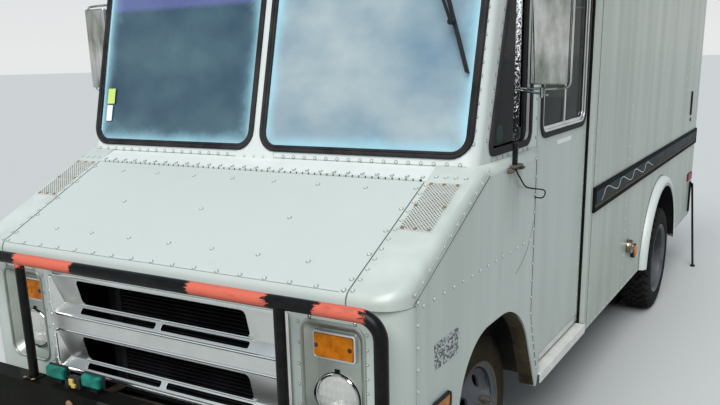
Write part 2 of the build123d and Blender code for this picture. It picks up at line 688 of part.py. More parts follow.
leg_foot = (1193, 2747)
leg_top = (1104, 2925, 770)
with BuildPart() as stabiliser_legs:
    for _, side in sides:
        foot_x = side * leg_foot[0]
        rod((foot_x, leg_foot[1], 0), (foot_x, leg_foot[1], 14), 22)
        rod((foot_x, leg_foot[1], 8), (side * leg_top[0], leg_top[1], leg_top[2]), 10)
        box((side * half_width, side * (half_width + 14)), (leg_top[1] - 20, leg_top[1] + 20),
            (skirt_z + 40, leg_top[2] + 15))
        box((side * half_width, side * leg_top[0]), (leg_top[1] - 12, leg_top[1] + 12),
            (leg_top[2] - 25, leg_top[2] + 5))
write(stabiliser_legs, "stabiliser_legs")

mirror_y = -2105
mirror_x = (1147, 1295)
mirror_z = (1907, 2312)
stay_x = 1090
stay_z = (1578, 2380)
with BuildPart() as mirrors:
    for _, side in sides:
        box((side * mirror_x[0], side * mirror_x[1]), (mirror_y - 35, mirror_y + 35), mirror_z)
        rod((side * stay_x, mirror_y, stay_z[0] + 12), (side * stay_x, mirror_y, stay_z[1]), 12)
        # Foot: a strap under the stay with a lip on the cab side
        foot_y = (mirror_y - 85, mirror_y + 113)
        box((side * half_width, side * (stay_x + 20)), foot_y, (stay_z[0], stay_z[0] + 14))
        box((side * half_width, side * (half_width + 4)), foot_y, (1550, stay_z[0] + 14))
        box((side * pillar_half, side * stay_x), (mirror_y - 14, mirror_y + 14), (stay_z[1] - 28, stay_z[1]))
        for arm_z in (1930, 2290):
            rod((side * stay_x, mirror_y, arm_z), (side * (mirror_x[0] + 5), mirror_y, arm_z), 8)
write(mirrors, "mirrors")

# Loose mirror wire, from the post's foot back to the panel's rear edge
wire_radius = 3
wire_route = (
    (1093, -2102, 1577), (1093, -2092, 1562), (1095, -2044, 1527), (1096, -1995, 1488), (1096, -1930, 1470),
    (1094, -1836, 1452), (1092, -1692, 1426), (1092, -1690, 1400), (1091, -1742, 1392), (1084, -1806, 1410),
)

with BuildPart() as mirror_wire:
    runs = [Vector(*point) for point in wire_route]
    radii = []
    for before, corner, after in zip(runs, runs[1:], runs[2:]):
        turn = radians((corner - before).get_angle(after - corner))
        shorter = min((corner - before).length, (after - corner).length)
        radii.append(0.45 * shorter / tan(turn / 2))
    with BuildLine() as wire_line:
        FilletPolyline(*wire_route, radius=radii)
    with BuildSketch(Plane(origin=wire_line.line @ 0, z_dir=wire_line.line % 0)) as wire_section:
        Circle(wire_radius)
    sweep(wire_section.sketch, path=wire_line.wire())
    print("wire length", round(wire_line.wire().length))
write(mirror_wire, "mirror_wire")
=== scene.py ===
import bpy
import bmesh
import json
from math import atan2, cos, hypot, pi, radians, sin, sqrt
from mathutils import Matrix, Vector


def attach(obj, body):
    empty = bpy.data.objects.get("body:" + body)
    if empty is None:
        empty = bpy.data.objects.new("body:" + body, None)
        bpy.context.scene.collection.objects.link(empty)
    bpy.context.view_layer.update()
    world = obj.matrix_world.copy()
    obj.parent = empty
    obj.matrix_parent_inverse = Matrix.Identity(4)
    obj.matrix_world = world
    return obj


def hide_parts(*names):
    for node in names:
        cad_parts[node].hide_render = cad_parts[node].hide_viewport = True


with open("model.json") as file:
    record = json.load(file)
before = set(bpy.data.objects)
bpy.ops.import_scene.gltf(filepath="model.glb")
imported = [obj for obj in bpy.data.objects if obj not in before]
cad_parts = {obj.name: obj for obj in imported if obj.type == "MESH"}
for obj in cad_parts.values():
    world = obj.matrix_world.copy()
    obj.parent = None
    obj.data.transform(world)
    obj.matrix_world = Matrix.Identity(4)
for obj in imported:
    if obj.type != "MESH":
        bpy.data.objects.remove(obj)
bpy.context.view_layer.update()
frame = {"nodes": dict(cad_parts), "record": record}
nodes = frame["nodes"]
sides = dict(left=1, right=-1)
print("frame loaded", len(nodes), "nodes")

# Planes and points of the CAD model, in metres
halfWidth, cabHalf, hoodHalf = 1.08, 1.04, 0.881
frontY, rearY, rearAxleY = -3.075, 3.025, 1.315
noseFoldY, noseFoldZ = -3.1, 1.287
hoodHingeY, hoodHingeZ = -2.505, 1.572
topSlope = (hoodHingeZ - noseFoldZ) / (hoodHingeY - noseFoldY)
glassSlope = 0.2609
roofSeams = (-1.75, -0.55, 0.65, 1.85, 2.95)

# Ways that a piece can face
ahead, behind, outwards, upwards = (0, -1, 0), (0, 1, 0), (1, 0, 0), (0, 0, 1)
noseUp = (0, -topSlope, 1)
glassOut = (0, -1, glassSlope)


def windshieldY(z):
    return -2.377 + (z - 1.732) * glassSlope


def onGlass(x, z, lift=0.0):
    return (x, windshieldY(z) - lift, z)


def onNose(x, y, lift=0.0):
    return (x, y, noseFoldZ + (y - noseFoldY) * topSlope + lift)


# The four corners of a rectangle that faces the front, the rear, the driver's side or out of the glass
def frontCorners(x0, x1, z0, z1, y):
    return ((x0, y, z0), (x1, y, z0), (x1, y, z1), (x0, y, z1))


def rearCorners(x0, x1, z0, z1, y):
    return frontCorners(x1, x0, z0, z1, y)


def sideCorners(y0, y1, z0, z1, x):
    return ((x, y0, z0), (x, y1, z0), (x, y1, z1), (x, y0, z1))


def glassCorners(x0, x1, z0, z1, lift):
    return [onGlass(x, z, lift) for x, z in ((x0, z0), (x1, z0), (x1, z1), (x0, z1))]


# Hand tools: every modelling step below goes through these
def deselectAll():
    bpy.ops.object.select_all(action="DESELECT")
    bpy.context.view_layer.objects.active = None


def pickOnly(piece):
    deselectAll()
    piece.select_set(True)
    bpy.context.view_layer.objects.active = piece


def newPiece(name):
    # The primitive that was just added, with its place and size put into its mesh
    piece = bpy.context.object
    piece.name = name
    pickOnly(piece)
    bpy.ops.object.transform_apply(location=True, rotation=True, scale=True)
    return piece


def startBlock(name, low, high):
    deselectAll()
    middle = [(a + b) / 2 for a, b in zip(low, high)]
    bpy.ops.mesh.primitive_cube_add(size=1, location=middle)
    bpy.context.object.scale = [abs(b - a) for a, b in zip(low, high)]
    return newPiece(name)


def startDisc(name, start, end, radius, rim=32):
    deselectAll()
    along = Vector(end) - Vector(start)
    bpy.ops.mesh.primitive_cylinder_add(vertices=rim, radius=radius, depth=along.length,
                                        location=(Vector(start) + Vector(end)) / 2,
                                        rotation=along.to_track_quat("Z", "Y").to_euler())
    return newPiece(name)


def editPick(piece, test, kind="FACE"):
    # Edit mode, with what passes the test picked by its place and its normal or direction
    pickOnly(piece)
    bpy.ops.object.mode_set(mode="EDIT")
    bpy.ops.mesh.select_mode(type=kind)
    bpy.ops.mesh.select_all(action="DESELECT")
    mesh = bmesh.from_edit_mesh(piece.data)
    if kind == "FACE":
        for face in mesh.faces:
            if test(face.calc_center_median(), face.normal):
                face.select_set(True)
    elif kind == "EDGE":
        for edge in mesh.edges:
            along = edge.verts[1].co - edge.verts[0].co
            if test((edge.verts[0].co + edge.verts[1].co) / 2, along.normalized()):
                edge.select_set(True)
    else:
        for vert in mesh.verts:
            if test(vert.co, vert.normal):
                vert.select_set(True)
    bmesh.update_edit_mesh(piece.data)


def editAll(piece):
    editPick(piece, lambda place, normal: True)


def editDone():
    bpy.ops.object.mode_set(mode="OBJECT")


def push(along):
    bpy.ops.mesh.extrude_region_move(TRANSFORM_OT_translate={"value": along})


def turnNormalsOut():
    bpy.ops.mesh.select_all(action="SELECT")
    bpy.ops.mesh.normals_make_consistent(inside=False)


def cutPlane(piece, spot, normal, **values):
    editAll(piece)
    bpy.ops.mesh.bisect(plane_co=spot, plane_no=normal, **values)
    editDone()


def openUp(piece):
    # Takes the faces away and leaves their edges
    editAll(piece)
    bpy.ops.mesh.delete(type="ONLY_FACE")
    editDone()


def applyModifier(piece, kind, **values):
    pickOnly(piece)
    modifier = piece.modifiers.new(kind.title(), kind)
    for key, value in values.items():
        setattr(modifier, key, value)
    bpy.ops.object.modifier_apply(modifier=modifier.name)
    return piece


def repeat(piece, count, step, **values):
    return applyModifier(piece, "ARRAY", count=count, use_relative_offset=False, use_constant_offset=True,
                         constant_offset_displace=step, **values)


def rollEdges(piece, width, angle=50, segments=2):
    if width:
        applyModifier(piece, "BEVEL", width=width, segments=segments, limit_method="ANGLE",
                      angle_limit=radians(angle))
    return piece


def thicken(piece, thick, offset=1.0):
    return applyModifier(piece, "SOLIDIFY", thickness=thick, offset=offset)


def joinAll(name, pieces):
    deselectAll()
    for piece in pieces:
        piece.select_set(True)
    bpy.context.view_layer.objects.active = pieces[0]
    if len(pieces) > 1:
        bpy.ops.object.join()
    joined = bpy.context.view_layer.objects.active
    joined.name = name
    return joined


def copyAt(piece, matrix):
    twin = piece.copy()
    twin.data = piece.data.copy()
    twin.data.transform(matrix)
    bpy.context.scene.collection.objects.link(twin)
    return twin


def cutOut(piece, cutters):
    cutter = joinAll("cutter", cutters)
    applyModifier(piece, "BOOLEAN", object=cutter, operation="DIFFERENCE", solver="EXACT")
    bpy.data.objects.remove(cutter)


def roundedBlock(name, low, high, bevel, segments=3):
    return applyModifier(startBlock(name, low, high), "BEVEL", width=bevel, segments=segments,
                         limit_method="NONE")


def startPanel(name, corners, radius=0.0, steps=5):
    # Four corners, anticlockwise as seen from the side that the panel faces
    deselectAll()
    bpy.ops.mesh.primitive_plane_add(size=1)
    piece = bpy.context.object
    piece.name = name
    for vert, corner in zip(piece.data.vertices, (corners[0], corners[1], corners[3], corners[2])):
        vert.co = corner
    if radius:
        editPick(piece, lambda place, normal: True, "VERT")
        bpy.ops.mesh.bevel(offset=radius, segments=steps, affect="VERTICES")
        editDone()
    return piece


def makePlate(name, corners, radius, thick, bevel=0.0):
    return rollEdges(thicken(startPanel(name, corners, radius), thick), bevel)


def makeBand(name, corners, radius, band, thick, bevel=0.0):
    # A flat ring along a panel's edge, such as a window seal or a lamp's bezel
    piece = startPanel(name, corners, radius, 6)
    editAll(piece)
    bpy.ops.mesh.inset(thickness=band, use_even_offset=True)
    bpy.ops.mesh.delete(type="FACE")
    editDone()
    return rollEdges(thicken(piece, thick), bevel, segments=3)


def makeBead(name, corners, radius, wireRadius):
    piece = startPanel(name, corners, radius, 6)
    openUp(piece)
    pickOnly(piece)
    bpy.ops.object.convert(target="CURVE")
    bead = bpy.context.object
    bead.data.bevel_depth = wireRadius
    bead.data.bevel_resolution = 2
    bpy.ops.object.convert(target="MESH")
    return bpy.context.object


def startCurve(name, points, radius, roundness, order, steps):
    curve = bpy.data.curves.new(name, "CURVE")
    curve.dimensions = "3D"
    line = curve.splines.new("NURBS")
    line.points.add(len(points) - 1)
    for point, place in zip(line.points, points):
        point.co = (*place, 1)
    line.order_u = min(order, len(points))
    line.use_endpoint_u = True
    line.resolution_u = steps
    curve.bevel_depth = radius
    curve.bevel_resolution = roundness
    piece = bpy.data.objects.new(name, curve)
    bpy.context.scene.collection.objects.link(piece)
    return piece


def makeTube(name, points, radius, roundness=3, order=3):
    # A bent rod through a few points, rounded at its bends
    tube = startCurve(name, points, radius, roundness, order, 6)
    tube.data.use_fill_caps = True
    pickOnly(tube)
    bpy.ops.object.convert(target="MESH")
    return bpy.context.object


def turned(name, centre, axis, steps, rim=48, hollow=False):
    # A turned form: a disc that is pushed along its axis and scaled, step by step (along, radius)
    deselectAll()
    bpy.ops.mesh.primitive_circle_add(vertices=rim, radius=steps[0][1], fill_type="NGON",
                                      location=(0, 0, steps[0][0]))
    piece = newPiece(name)
    editAll(piece)
    for (along, radius), (nextAlong, nextRadius) in zip(steps, steps[1:]):
        push((0, 0, nextAlong - along))
        factor = nextRadius / radius
        bpy.ops.transform.resize(value=(factor, factor, 1), center_override=(0, 0, nextAlong))
    if hollow:
        bpy.ops.mesh.select_all(action="DESELECT")
        mesh = bmesh.from_edit_mesh(piece.data)
        for face in mesh.faces:
            face.select_set(len(face.verts) == rim)
        bmesh.update_edit_mesh(piece.data)
        bpy.ops.mesh.delete(type="ONLY_FACE")
        bpy.ops.mesh.select_all(action="DESELECT")
        bpy.ops.mesh.select_mode(type="EDGE")
        bpy.ops.mesh.select_non_manifold(extend=False, use_wire=False, use_multi_face=False,
                                         use_non_contiguous=False, use_verts=False)
        bpy.ops.mesh.bridge_edge_loops()
        bpy.ops.mesh.select_mode(type="FACE")
    turnNormalsOut()
    editDone()
    turn = Vector(axis).to_track_quat("Z", "Y").to_matrix().to_4x4()
    piece.data.transform(Matrix.Translation(centre) @ turn)
    return piece


def mirrored(piece):
    twin = copyAt(piece, Matrix.Scale(-1, 4, (1, 0, 0)))
    editAll(twin)
    bpy.ops.mesh.flip_normals()
    editDone()
    return twin


def movedOver(piece):
    # A piece of the driver's side that belongs on the kerb side
    twin = mirrored(piece)
    bpy.data.objects.remove(piece)
    return twin


def bothSides(piece):
    return [piece, mirrored(piece)]


def finishPiece(piece, material, slot=None, body="root", stands=(), angle=35, name=None):
    pickOnly(piece)
    bpy.ops.object.shade_smooth_by_angle(angle=radians(angle))
    applyModifier(piece, "WEIGHTED_NORMAL", keep_sharp=True, weight=50)
    piece.data.materials.clear()
    piece.data.materials.append(bpy.data.materials[material])
    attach(piece, body)
    if name:
        piece.name = name
    if stands:
        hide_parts(*stands)
    return piece


def finishSet(name, parts, material, slot=None, **values):
    finishPiece(joinAll(name, parts), material, slot, **values)


def finishPair(name, parts, material, slot=None, **values):
    # Parts of the driver's side, repeated on the kerb side as one piece
    finishSet(name, bothSides(joinAll(name, parts)), material, slot, **values)


# Camera first, then the cord
camera = dict(
    spot=(2.1549, -5.158, 2.031), yaw=0.5524, pitch=0.2616, roll=-0.0282, focal=781.64, centreX=345.85,
    centreY=266.47, wide=720, high=405)


def placeCamera():
    yaw, pitch, roll = camera["yaw"], camera["pitch"], camera["roll"]
    forward = Vector((-sin(yaw) * cos(pitch), cos(yaw) * cos(pitch), -sin(pitch)))
    level = Vector((cos(yaw), sin(yaw), 0))
    up = level.cross(forward)
    right = level * cos(roll) + up * sin(roll)
    above = up * cos(roll) - level * sin(roll)
    deselectAll()
    bpy.ops.object.camera_add(location=camera["spot"])
    eye = bpy.context.object
    eye.rotation_mode = "QUATERNION"
    eye.rotation_quaternion = Matrix((right, above, -forward)).transposed().to_quaternion()
    eye.data.lens = camera["focal"] * eye.data.sensor_width / camera["wide"]
    eye.data.shift_x = (camera["wide"] / 2 - camera["centreX"]) / camera["wide"]
    eye.data.shift_y = (camera["centreY"] - camera["high"] / 2) / camera["wide"]
    eye.data.clip_end = 200
    bpy.context.scene.camera = eye


placeCamera()

wire = dict(radius=0.003, length=0.585, route=(
    (1.093, -2.102, 1.577), (1.093, -2.092, 1.562), (1.095, -2.044, 1.527), (1.096, -1.995, 1.488),
    (1.096, -1.93, 1.47), (1.094, -1.836, 1.452), (1.092, -1.692, 1.426), (1.092, -1.69, 1.4),
    (1.091, -1.742, 1.392), (1.084, -1.806, 1.41)))


def makeWire():
    piece = startCurve("mirrorWire", wire["route"], wire["radius"], 3, 3, 12)
    piece.data.materials.append(bpy.data.materials["blackRubber"])
    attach(piece, "root")
    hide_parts("mirror_wire")


# Node tools for the materials
def feed(tree, socket, value):
    # A socket takes another socket, a number, or a colour as three numbers
    if isinstance(value, bpy.types.NodeSocket):
        tree.links.new(value, socket)
    else:
        socket.default_value = (*value, 1) if socket.type == "RGBA" else value


def addNode(tree, kind, **inputs):
    node = tree.nodes.new(kind)
    for key, value in inputs.items():
        if key in node.inputs:
            feed(tree, node.inputs[key], value)
        else:
            setattr(node, key, value)
    return node


def fromPlace(tree):
    # Object coordinates: one node in each tree, which every pattern shares
    found = tree.nodes.get("place") or addNode(tree, "ShaderNodeTexCoord", name="place")
    return found.outputs["Object"]


def placeParts(tree):
    return addNode(tree, "ShaderNodeSeparateXYZ", Vector=fromPlace(tree)).outputs


def mixColours(tree, factor, first, second):
    node = addNode(tree, "ShaderNodeMix", data_type="RGBA")
    for index, value in ((0, factor), (6, first), (7, second)):
        feed(tree, node.inputs[index], value)
    return node.outputs[2]


def maths(tree, operation, first, second=0.0, clamp=False):
    node = addNode(tree, "ShaderNodeMath", operation=operation, use_clamp=clamp)
    feed(tree, node.inputs[0], first)
    feed(tree, node.inputs[1], second)
    return node.outputs[0]


def times(tree, first, second, clamp=False):
    return maths(tree, "MULTIPLY", first, second, clamp)


def plus(tree, first, second, clamp=False):
    return maths(tree, "ADD", first, second, clamp)


def spread(tree, value, fromLow, fromHigh, toLow=0.0, toHigh=1.0):
    node = addNode(tree, "ShaderNodeMapRange")
    for index, part in enumerate((value, fromLow, fromHigh, toLow, toHigh)):
        feed(tree, node.inputs[index], part)
    return node.outputs[0]


def noise(tree, scale, detail=4.0, roughness=0.5, stretch=(1, 1, 1)):
    mapping = addNode(tree, "ShaderNodeMapping", Vector=fromPlace(tree), Scale=stretch)
    return addNode(tree, "ShaderNodeTexNoise", Vector=mapping.outputs[0], Scale=scale, Detail=detail,
                   Roughness=roughness).outputs[0]


def startGroup(name, inputs, outputs):
    group = bpy.data.node_groups.new(name, "ShaderNodeTree")
    for label, kind, value in inputs:
        socket = group.interface.new_socket(label, in_out="INPUT", socket_type="NodeSocket" + kind)
        socket.default_value = (*value, 1) if kind == "Color" else value
    for label, kind in outputs:
        group.interface.new_socket(label, in_out="OUTPUT", socket_type="NodeSocket" + kind)
    start = group.nodes.new("NodeGroupInput")
    end = group.nodes.new("NodeGroupOutput")
    return group, start.outputs, end.inputs


def makeWeatheredGroup():
    group, given, result = startGroup(
        "weathered",
        (("Base", "Color", (0.4, 0.45, 0.4)), ("Faded", "Color", (0.5, 0.55, 0.5)),
         ("Dirt", "Color", (0.12, 0.11, 0.09)), ("Streaks", "Float", 0.4), ("Dirt Amount", "Float", 0.3),
         ("Dirt Height", "Float", 0.9)),
        (("Color", "Color"), ("Grime", "Float"), ("Height", "Float")))
    clouds = noise(group, 1.6, 5, 0.55)
    streaks = noise(group, 5.5, 5, 0.55, (1, 1, 0.06))
    specks = noise(group, 160.0, 3, 0.7)
    fadedMask = times(group, spread(group, streaks, 0.42, 0.68), given["Streaks"])
    fadedMask = plus(group, fadedMask, spread(group, clouds, 0.4, 0.75, 0, 0.16), True)
    colour = mixColours(group, fadedMask, given["Base"], given["Faded"])
    nearGround = maths(group, "DIVIDE", placeParts(group)[2], given["Dirt Height"])
    nearGround = maths(group, "SUBTRACT", 1.0, nearGround, True)
    splash = times(group, nearGround, spread(group, noise(group, 5, 8, 0.7), 0.3, 0.75))
    runs = times(group, spread(group, noise(group, 14, 5, 0.7, (1, 1, 0.05)), 0.6, 0.85), 0.35)
    grime = plus(group, splash, runs, True)
    grime = plus(group, grime, spread(group, specks, 0.68, 0.8, 0, 0.5), True)
    grime = times(group, grime, given["Dirt Amount"], True)
    feed(group, result["Color"], mixColours(group, grime, colour, given["Dirt"]))
    feed(group, result["Grime"], grime)
    feed(group, result["Height"], plus(group, times(group, clouds, 3.0), specks))
    return group


def makeGrainGroup():
    group, given, result = startGroup(
        "grain", (("Scale", "Float", 300.0), ("Dark", "Color", (0.02, 0.02, 0.02)),
                  ("Light", "Color", (0.05, 0.05, 0.05))),
        (("Color", "Color"), ("Fine", "Float"), ("Coarse", "Float")))
    fine = addNode(group, "ShaderNodeTexNoise", Vector=fromPlace(group), Scale=given["Scale"], Detail=3.0,
                   Roughness=0.6)
    coarse = noise(group, 7.0, 6, 0.65)
    feed(group, result["Color"], mixColours(group, spread(group, coarse, 0.3, 0.7), given["Dark"],
                                            given["Light"]))
    feed(group, result["Fine"], fine.outputs[0])
    feed(group, result["Coarse"], coarse)
    return group


def makeBrushedGroup():
    group, given, result = startGroup(
        "brushed", (("Bright", "Color", (0.7, 0.71, 0.72)), ("Dull", "Color", (0.4, 0.41, 0.41)),
                    ("Along", "Vector", (1.0, 1.0, 1.0))),
        (("Color", "Color"), ("Roughness", "Float"), ("Height", "Float")))
    scaled = addNode(group, "ShaderNodeVectorMath", operation="MULTIPLY")
    feed(group, scaled.inputs[0], fromPlace(group))
    feed(group, scaled.inputs[1], given["Along"])
    lines = addNode(group, "ShaderNodeTexNoise", Vector=scaled.outputs[0], Scale=60.0, Detail=5.0)
    patches = noise(group, 6.0, 6, 0.6)
    feed(group, result["Color"], mixColours(group, spread(group, patches, 0.35, 0.7), given["Bright"],
                                            given["Dull"]))
    feed(group, result["Roughness"], spread(group, patches, 0.3, 0.7, 0.22, 0.5))
    feed(group, result["Height"], lines.outputs[0])
    return group


def makeEdgeGroup():
    group, given, result = startGroup("edgeWear", (("Width", "Float", 0.004), ("Amount", "Float", 0.5)),
                                      (("Mask", "Float"),))
    rounded = addNode(group, "ShaderNodeBevel", samples=4, Radius=given["Width"])
    same = addNode(group, "ShaderNodeVectorMath", operation="DOT_PRODUCT")
    feed(group, same.inputs[0], rounded.outputs[0])
    feed(group, same.inputs[1], addNode(group, "ShaderNodeNewGeometry").outputs["Normal"])
    edge = spread(group, same.outputs["Value"], 0.995, 0.85)
    broken = spread(group, noise(group, 40, 6, 0.7), 0.42, 0.6)
    feed(group, result["Mask"], times(group, times(group, edge, broken), given["Amount"], True))
    return group


weathered = makeWeatheredGroup()
grain = makeGrainGroup()
brushed = makeBrushedGroup()
edgeWear = makeEdgeGroup()


def newMaterial(name, gloss=0.5, **values):
    material = bpy.data.materials.new(name)
    material.use_nodes = True
    tree = material.node_tree
    shader = tree.nodes["Principled BSDF"]
    shader.inputs["Specular IOR Level"].default_value = gloss
    for key, value in values.items():
        feed(tree, shader.inputs[key], value)
    return tree, shader.inputs


def useGroup(tree, group, **values):
    node = addNode(tree, "ShaderNodeGroup", node_tree=group)
    for key, value in values.items():
        feed(tree, node.inputs[key.replace("_", " ")], value)
    return node.outputs


def addBump(tree, shader, height, strength, distance):
    bump = addNode(tree, "ShaderNodeBump", Strength=strength, Distance=distance, Height=height)
    feed(tree, shader["Normal"], bump.outputs[0])


def paintMaterial(name, base, faded, streaks=0.5, dirtAmount=0.45, dirtHeight=1.0, gloss=(0.32, 0.55),
                  wornColour=(0.55, 0.56, 0.56), wear=0.0, specular=0.5):
    tree, shader = newMaterial(name, specular)
    look = useGroup(tree, weathered, Base=base, Faded=faded, Streaks=streaks, Dirt_Amount=dirtAmount,
                    Dirt_Height=dirtHeight)
    colour = look["Color"]
    if wear:
        mask = useGroup(tree, edgeWear, Width=0.004, Amount=wear)["Mask"]
        colour = mixColours(tree, mask, colour, wornColour)
    feed(tree, shader["Base Color"], colour)
    feed(tree, shader["Roughness"], spread(tree, look["Grime"], 0, 0.6, *gloss))
    addBump(tree, shader, look["Height"], 0.25, 0.0006)
    return tree, shader


def grainMaterial(name, dark, light, roughness=(0.45, 0.7), scale=400.0, strength=0.3):
    # Dark finishes get little shine, so that they stay dark under the sky
    tree, shader = newMaterial(name, 0.05 if light[1] < 0.1 else 0.5)
    look = useGroup(tree, grain, Dark=dark, Light=light, Scale=scale)
    feed(tree, shader["Base Color"], look["Color"])
    feed(tree, shader["Roughness"], spread(tree, look["Coarse"], 0.3, 0.7, *roughness))
    addBump(tree, shader, look["Fine"], strength, 0.0005)


def metalMaterial(name, bright, dull, along=(1, 1, 0.05), strength=0.1, roughness=(0.22, 0.5)):
    tree, shader = newMaterial(name, Metallic=1.0)
    look = useGroup(tree, brushed, Bright=bright, Dull=dull, Along=along)
    feed(tree, shader["Base Color"], look["Color"])
    feed(tree, shader["Roughness"], spread(tree, look["Roughness"], 0.22, 0.5, *roughness))
    addBump(tree, shader, look["Height"], strength, 0.0003)


def lensMaterial(name, deep, bright, pitch=150, rough=0.12):
    # Pressed plastic: ribs in the bump whose crests are also painted paler as a highlight, on a solid colour
    tree, shader = newMaterial(name, 0.15, Roughness=rough)
    ribs = maths(tree, "SINE", times(tree, placeParts(tree)[0], pitch * 2 * pi))
    colour = mixColours(tree, spread(tree, noise(tree, 22, 4, 0.6), 0.35, 0.65), deep, bright)
    feed(tree, shader["Base Color"], mixColours(tree, spread(tree, ribs, -1, 1, 0, 0.35), colour, bright))
    addBump(tree, shader, ribs, 0.35, 0.0008)


# Paints: colour, faded colour, streaks, dirt and its height, roughness clean and dirty, worn edges
paints = dict(
    bodyPaint=((0.395, 0.44, 0.405), (0.52, 0.555, 0.52), 0.55, 0.4),
    sidePaint=((0.295, 0.335, 0.288), (0.44, 0.47, 0.422), 0.75, 0.4),
    # A lighter, bluer copy of the body paint for the hood; the blue lightness is a painted sky sheen
    hoodPaint=((0.428, 0.472, 0.445), (0.472, 0.512, 0.486), 0.15, 0.3),
    # A lighter copy of the body paint: its extra lightness is painted sky light on the windshield frame, the
    # pillar's foot and the flare beads
    framePaint=((0.54, 0.58, 0.555), (0.62, 0.65, 0.625), 0.35, 0.4),
    roofPaint=((0.46, 0.49, 0.46), (0.56, 0.58, 0.55), 0.3),
    blackPaint=((0.003, 0.003, 0.003), (0.009, 0.011, 0.007), 0.5, 0.2, 0.8, (0.4, 0.6),
        (0.026, 0.03, 0.022), 0.5, 0.03),
    ventPaint=((0.4, 0.43, 0.4), (0.52, 0.53, 0.5), 0.4, 0.5, 3.0, (0.4, 0.6), (0.28, 0.2, 0.13), 0.5),
    sillMetal=((0.74, 0.74, 0.7), (0.56, 0.55, 0.5), 0.6, 0.5, 1.2, (0.35, 0.6)))
# Fine-grained finishes: dark tone, light tone, roughness, scale of the grain and depth of its bumps
grains = dict(
    chassisPaint=((0.018, 0.016, 0.014), (0.075, 0.058, 0.042), (0.6, 0.85), 90),
    trimPlastic=((0.014, 0.015, 0.016), (0.028, 0.03, 0.031)),
    blackRubber=((0.003, 0.003, 0.003), (0.009, 0.009, 0.009), (0.6, 0.8)),
    sealRubber=((0.014, 0.014, 0.015), (0.04, 0.038, 0.039), (0.45, 0.7), 500),
    dustyTyre=((0.014, 0.012, 0.008), (0.055, 0.045, 0.028), (0.7, 0.95), 250),
    tyreRubber=((0.009, 0.009, 0.009), (0.026, 0.025, 0.023), (0.7, 0.95), 250),
    wheelPaint=((0.025, 0.03, 0.038), (0.1, 0.103, 0.112), (0.3, 0.6), 150),
    hubMetal=((0.085, 0.07, 0.058), (0.19, 0.15, 0.12), (0.5, 0.8), 250, 0.6),
    rustMetal=((0.12, 0.062, 0.026), (0.27, 0.155, 0.075), (0.7, 0.9), 500, 0.8),
    rustDust=((0.055, 0.045, 0.032), (0.12, 0.1, 0.075), (0.7, 0.9), 300, 0.6),
    darkLiner=((0.02, 0.016, 0.011), (0.1, 0.082, 0.055), (0.75, 0.95), 120, 0.6),
    finBlack=((0.004, 0.004, 0.005), (0.016, 0.016, 0.017), (0.5, 0.7), 300),
    darkGloss=((0.005, 0.011, 0.014), (0.014, 0.028, 0.034), (0.4, 0.55), 200, 0.05),
    engineIron=((0.02, 0.02, 0.02), (0.07, 0.06, 0.05), (0.5, 0.8), 60, 0.6),
    seatVinyl=((0.016, 0.015, 0.014), (0.042, 0.039, 0.036), (0.42, 0.62), 700, 0.6),
    plainWhite=((0.66, 0.67, 0.66), (0.78, 0.79, 0.78), (0.4, 0.6), 300),
    brassYellow=((0.42, 0.27, 0.05), (0.58, 0.42, 0.12), (0.4, 0.6), 200),
    stickerLime=((0.42, 0.55, 0.1), (0.52, 0.66, 0.18), (0.4, 0.6), 200),
    stickerTeal=((0.03, 0.22, 0.17), (0.05, 0.32, 0.25), (0.4, 0.6), 200),
    railGold=((0.1, 0.065, 0.02), (0.2, 0.14, 0.05), (0.3, 0.5), 200))
# Brushed metals: bright tone, dull tone, run of the brushing, depth of its bumps and roughness
metals = dict(
    floorMetal=((0.26, 0.255, 0.245), (0.13, 0.125, 0.12)),
    grilleMetal=((0.72, 0.73, 0.7), (0.6, 0.61, 0.58), (0.05, 1, 1), 0.05, (0.28, 0.42)),
    stainless=((0.62, 0.63, 0.64), (0.46, 0.47, 0.48), (1, 0.05, 1)),
    brightAluminium=((0.76, 0.77, 0.76), (0.6, 0.61, 0.6), (1, 1, 0.05), 0.04, (0.3, 0.44)),
    beadMetal=((0.88, 0.89, 0.88), (0.78, 0.79, 0.78), (0.05, 1, 1), 0.03, (0.14, 0.24)),
    panMetal=((0.47, 0.5, 0.455), (0.38, 0.41, 0.365), (1, 1, 0.1), 0.06, (0.34, 0.46)),
    capBronze=((0.3, 0.26, 0.2), (0.16, 0.13, 0.1), (1, 1, 0.5), 0.08, (0.25, 0.4)))
# Lamp plastics: deep tone, bright tone, ribs per metre and roughness
lenses = dict(
    amberLens=((0.3, 0.075, 0.001), (0.54, 0.165, 0.003), 120),
    redLens=((0.1, 0.002, 0.003), (0.26, 0.006, 0.01), 120, 0.35),
    tealLens=((0.002, 0.055, 0.042), (0.008, 0.165, 0.125), 60, 0.2))
for makeFinish, finishes in ((paintMaterial, paints), (grainMaterial, grains), (metalMaterial, metals),
                             (lensMaterial, lenses)):
    for name, values in finishes.items():
        makeFinish(name, *values)


# A run of dirt down the nose side under the mirror's foot
stain = dict(y=-2.085, top=1.565, wide=(0.035, 0.12), deep=0.3, colour=(0.16, 0.175, 0.14))


def stainPaint():
    tree = bpy.data.materials["bodyPaint"].node_tree
    shader = tree.nodes["Principled BSDF"].inputs
    x, y, z = placeParts(tree)
    aside = maths(tree, "ABSOLUTE", maths(tree, "SUBTRACT", y, stain["y"]))
    fading = spread(tree, z, stain["top"] - stain["deep"], stain["top"], 0, 1)
    run = times(tree, spread(tree, aside, *stain["wide"], 1, 0), fading)
    run = times(tree, run, maths(tree, "LESS_THAN", z, stain["top"] + 0.02))
    run = times(tree, run, spread(tree, noise(tree, 30, 4, 0.6, (1, 1, 0.08)), 0.3, 0.7, 0.25, 0.85))
    run = times(tree, run, maths(tree, "GREATER_THAN", maths(tree, "ABSOLUTE", x), halfWidth - 0.02))
    clean = shader["Base Color"].links[0].from_socket
    feed(tree, shader["Base Color"], mixColours(tree, run, clean, stain["colour"]))


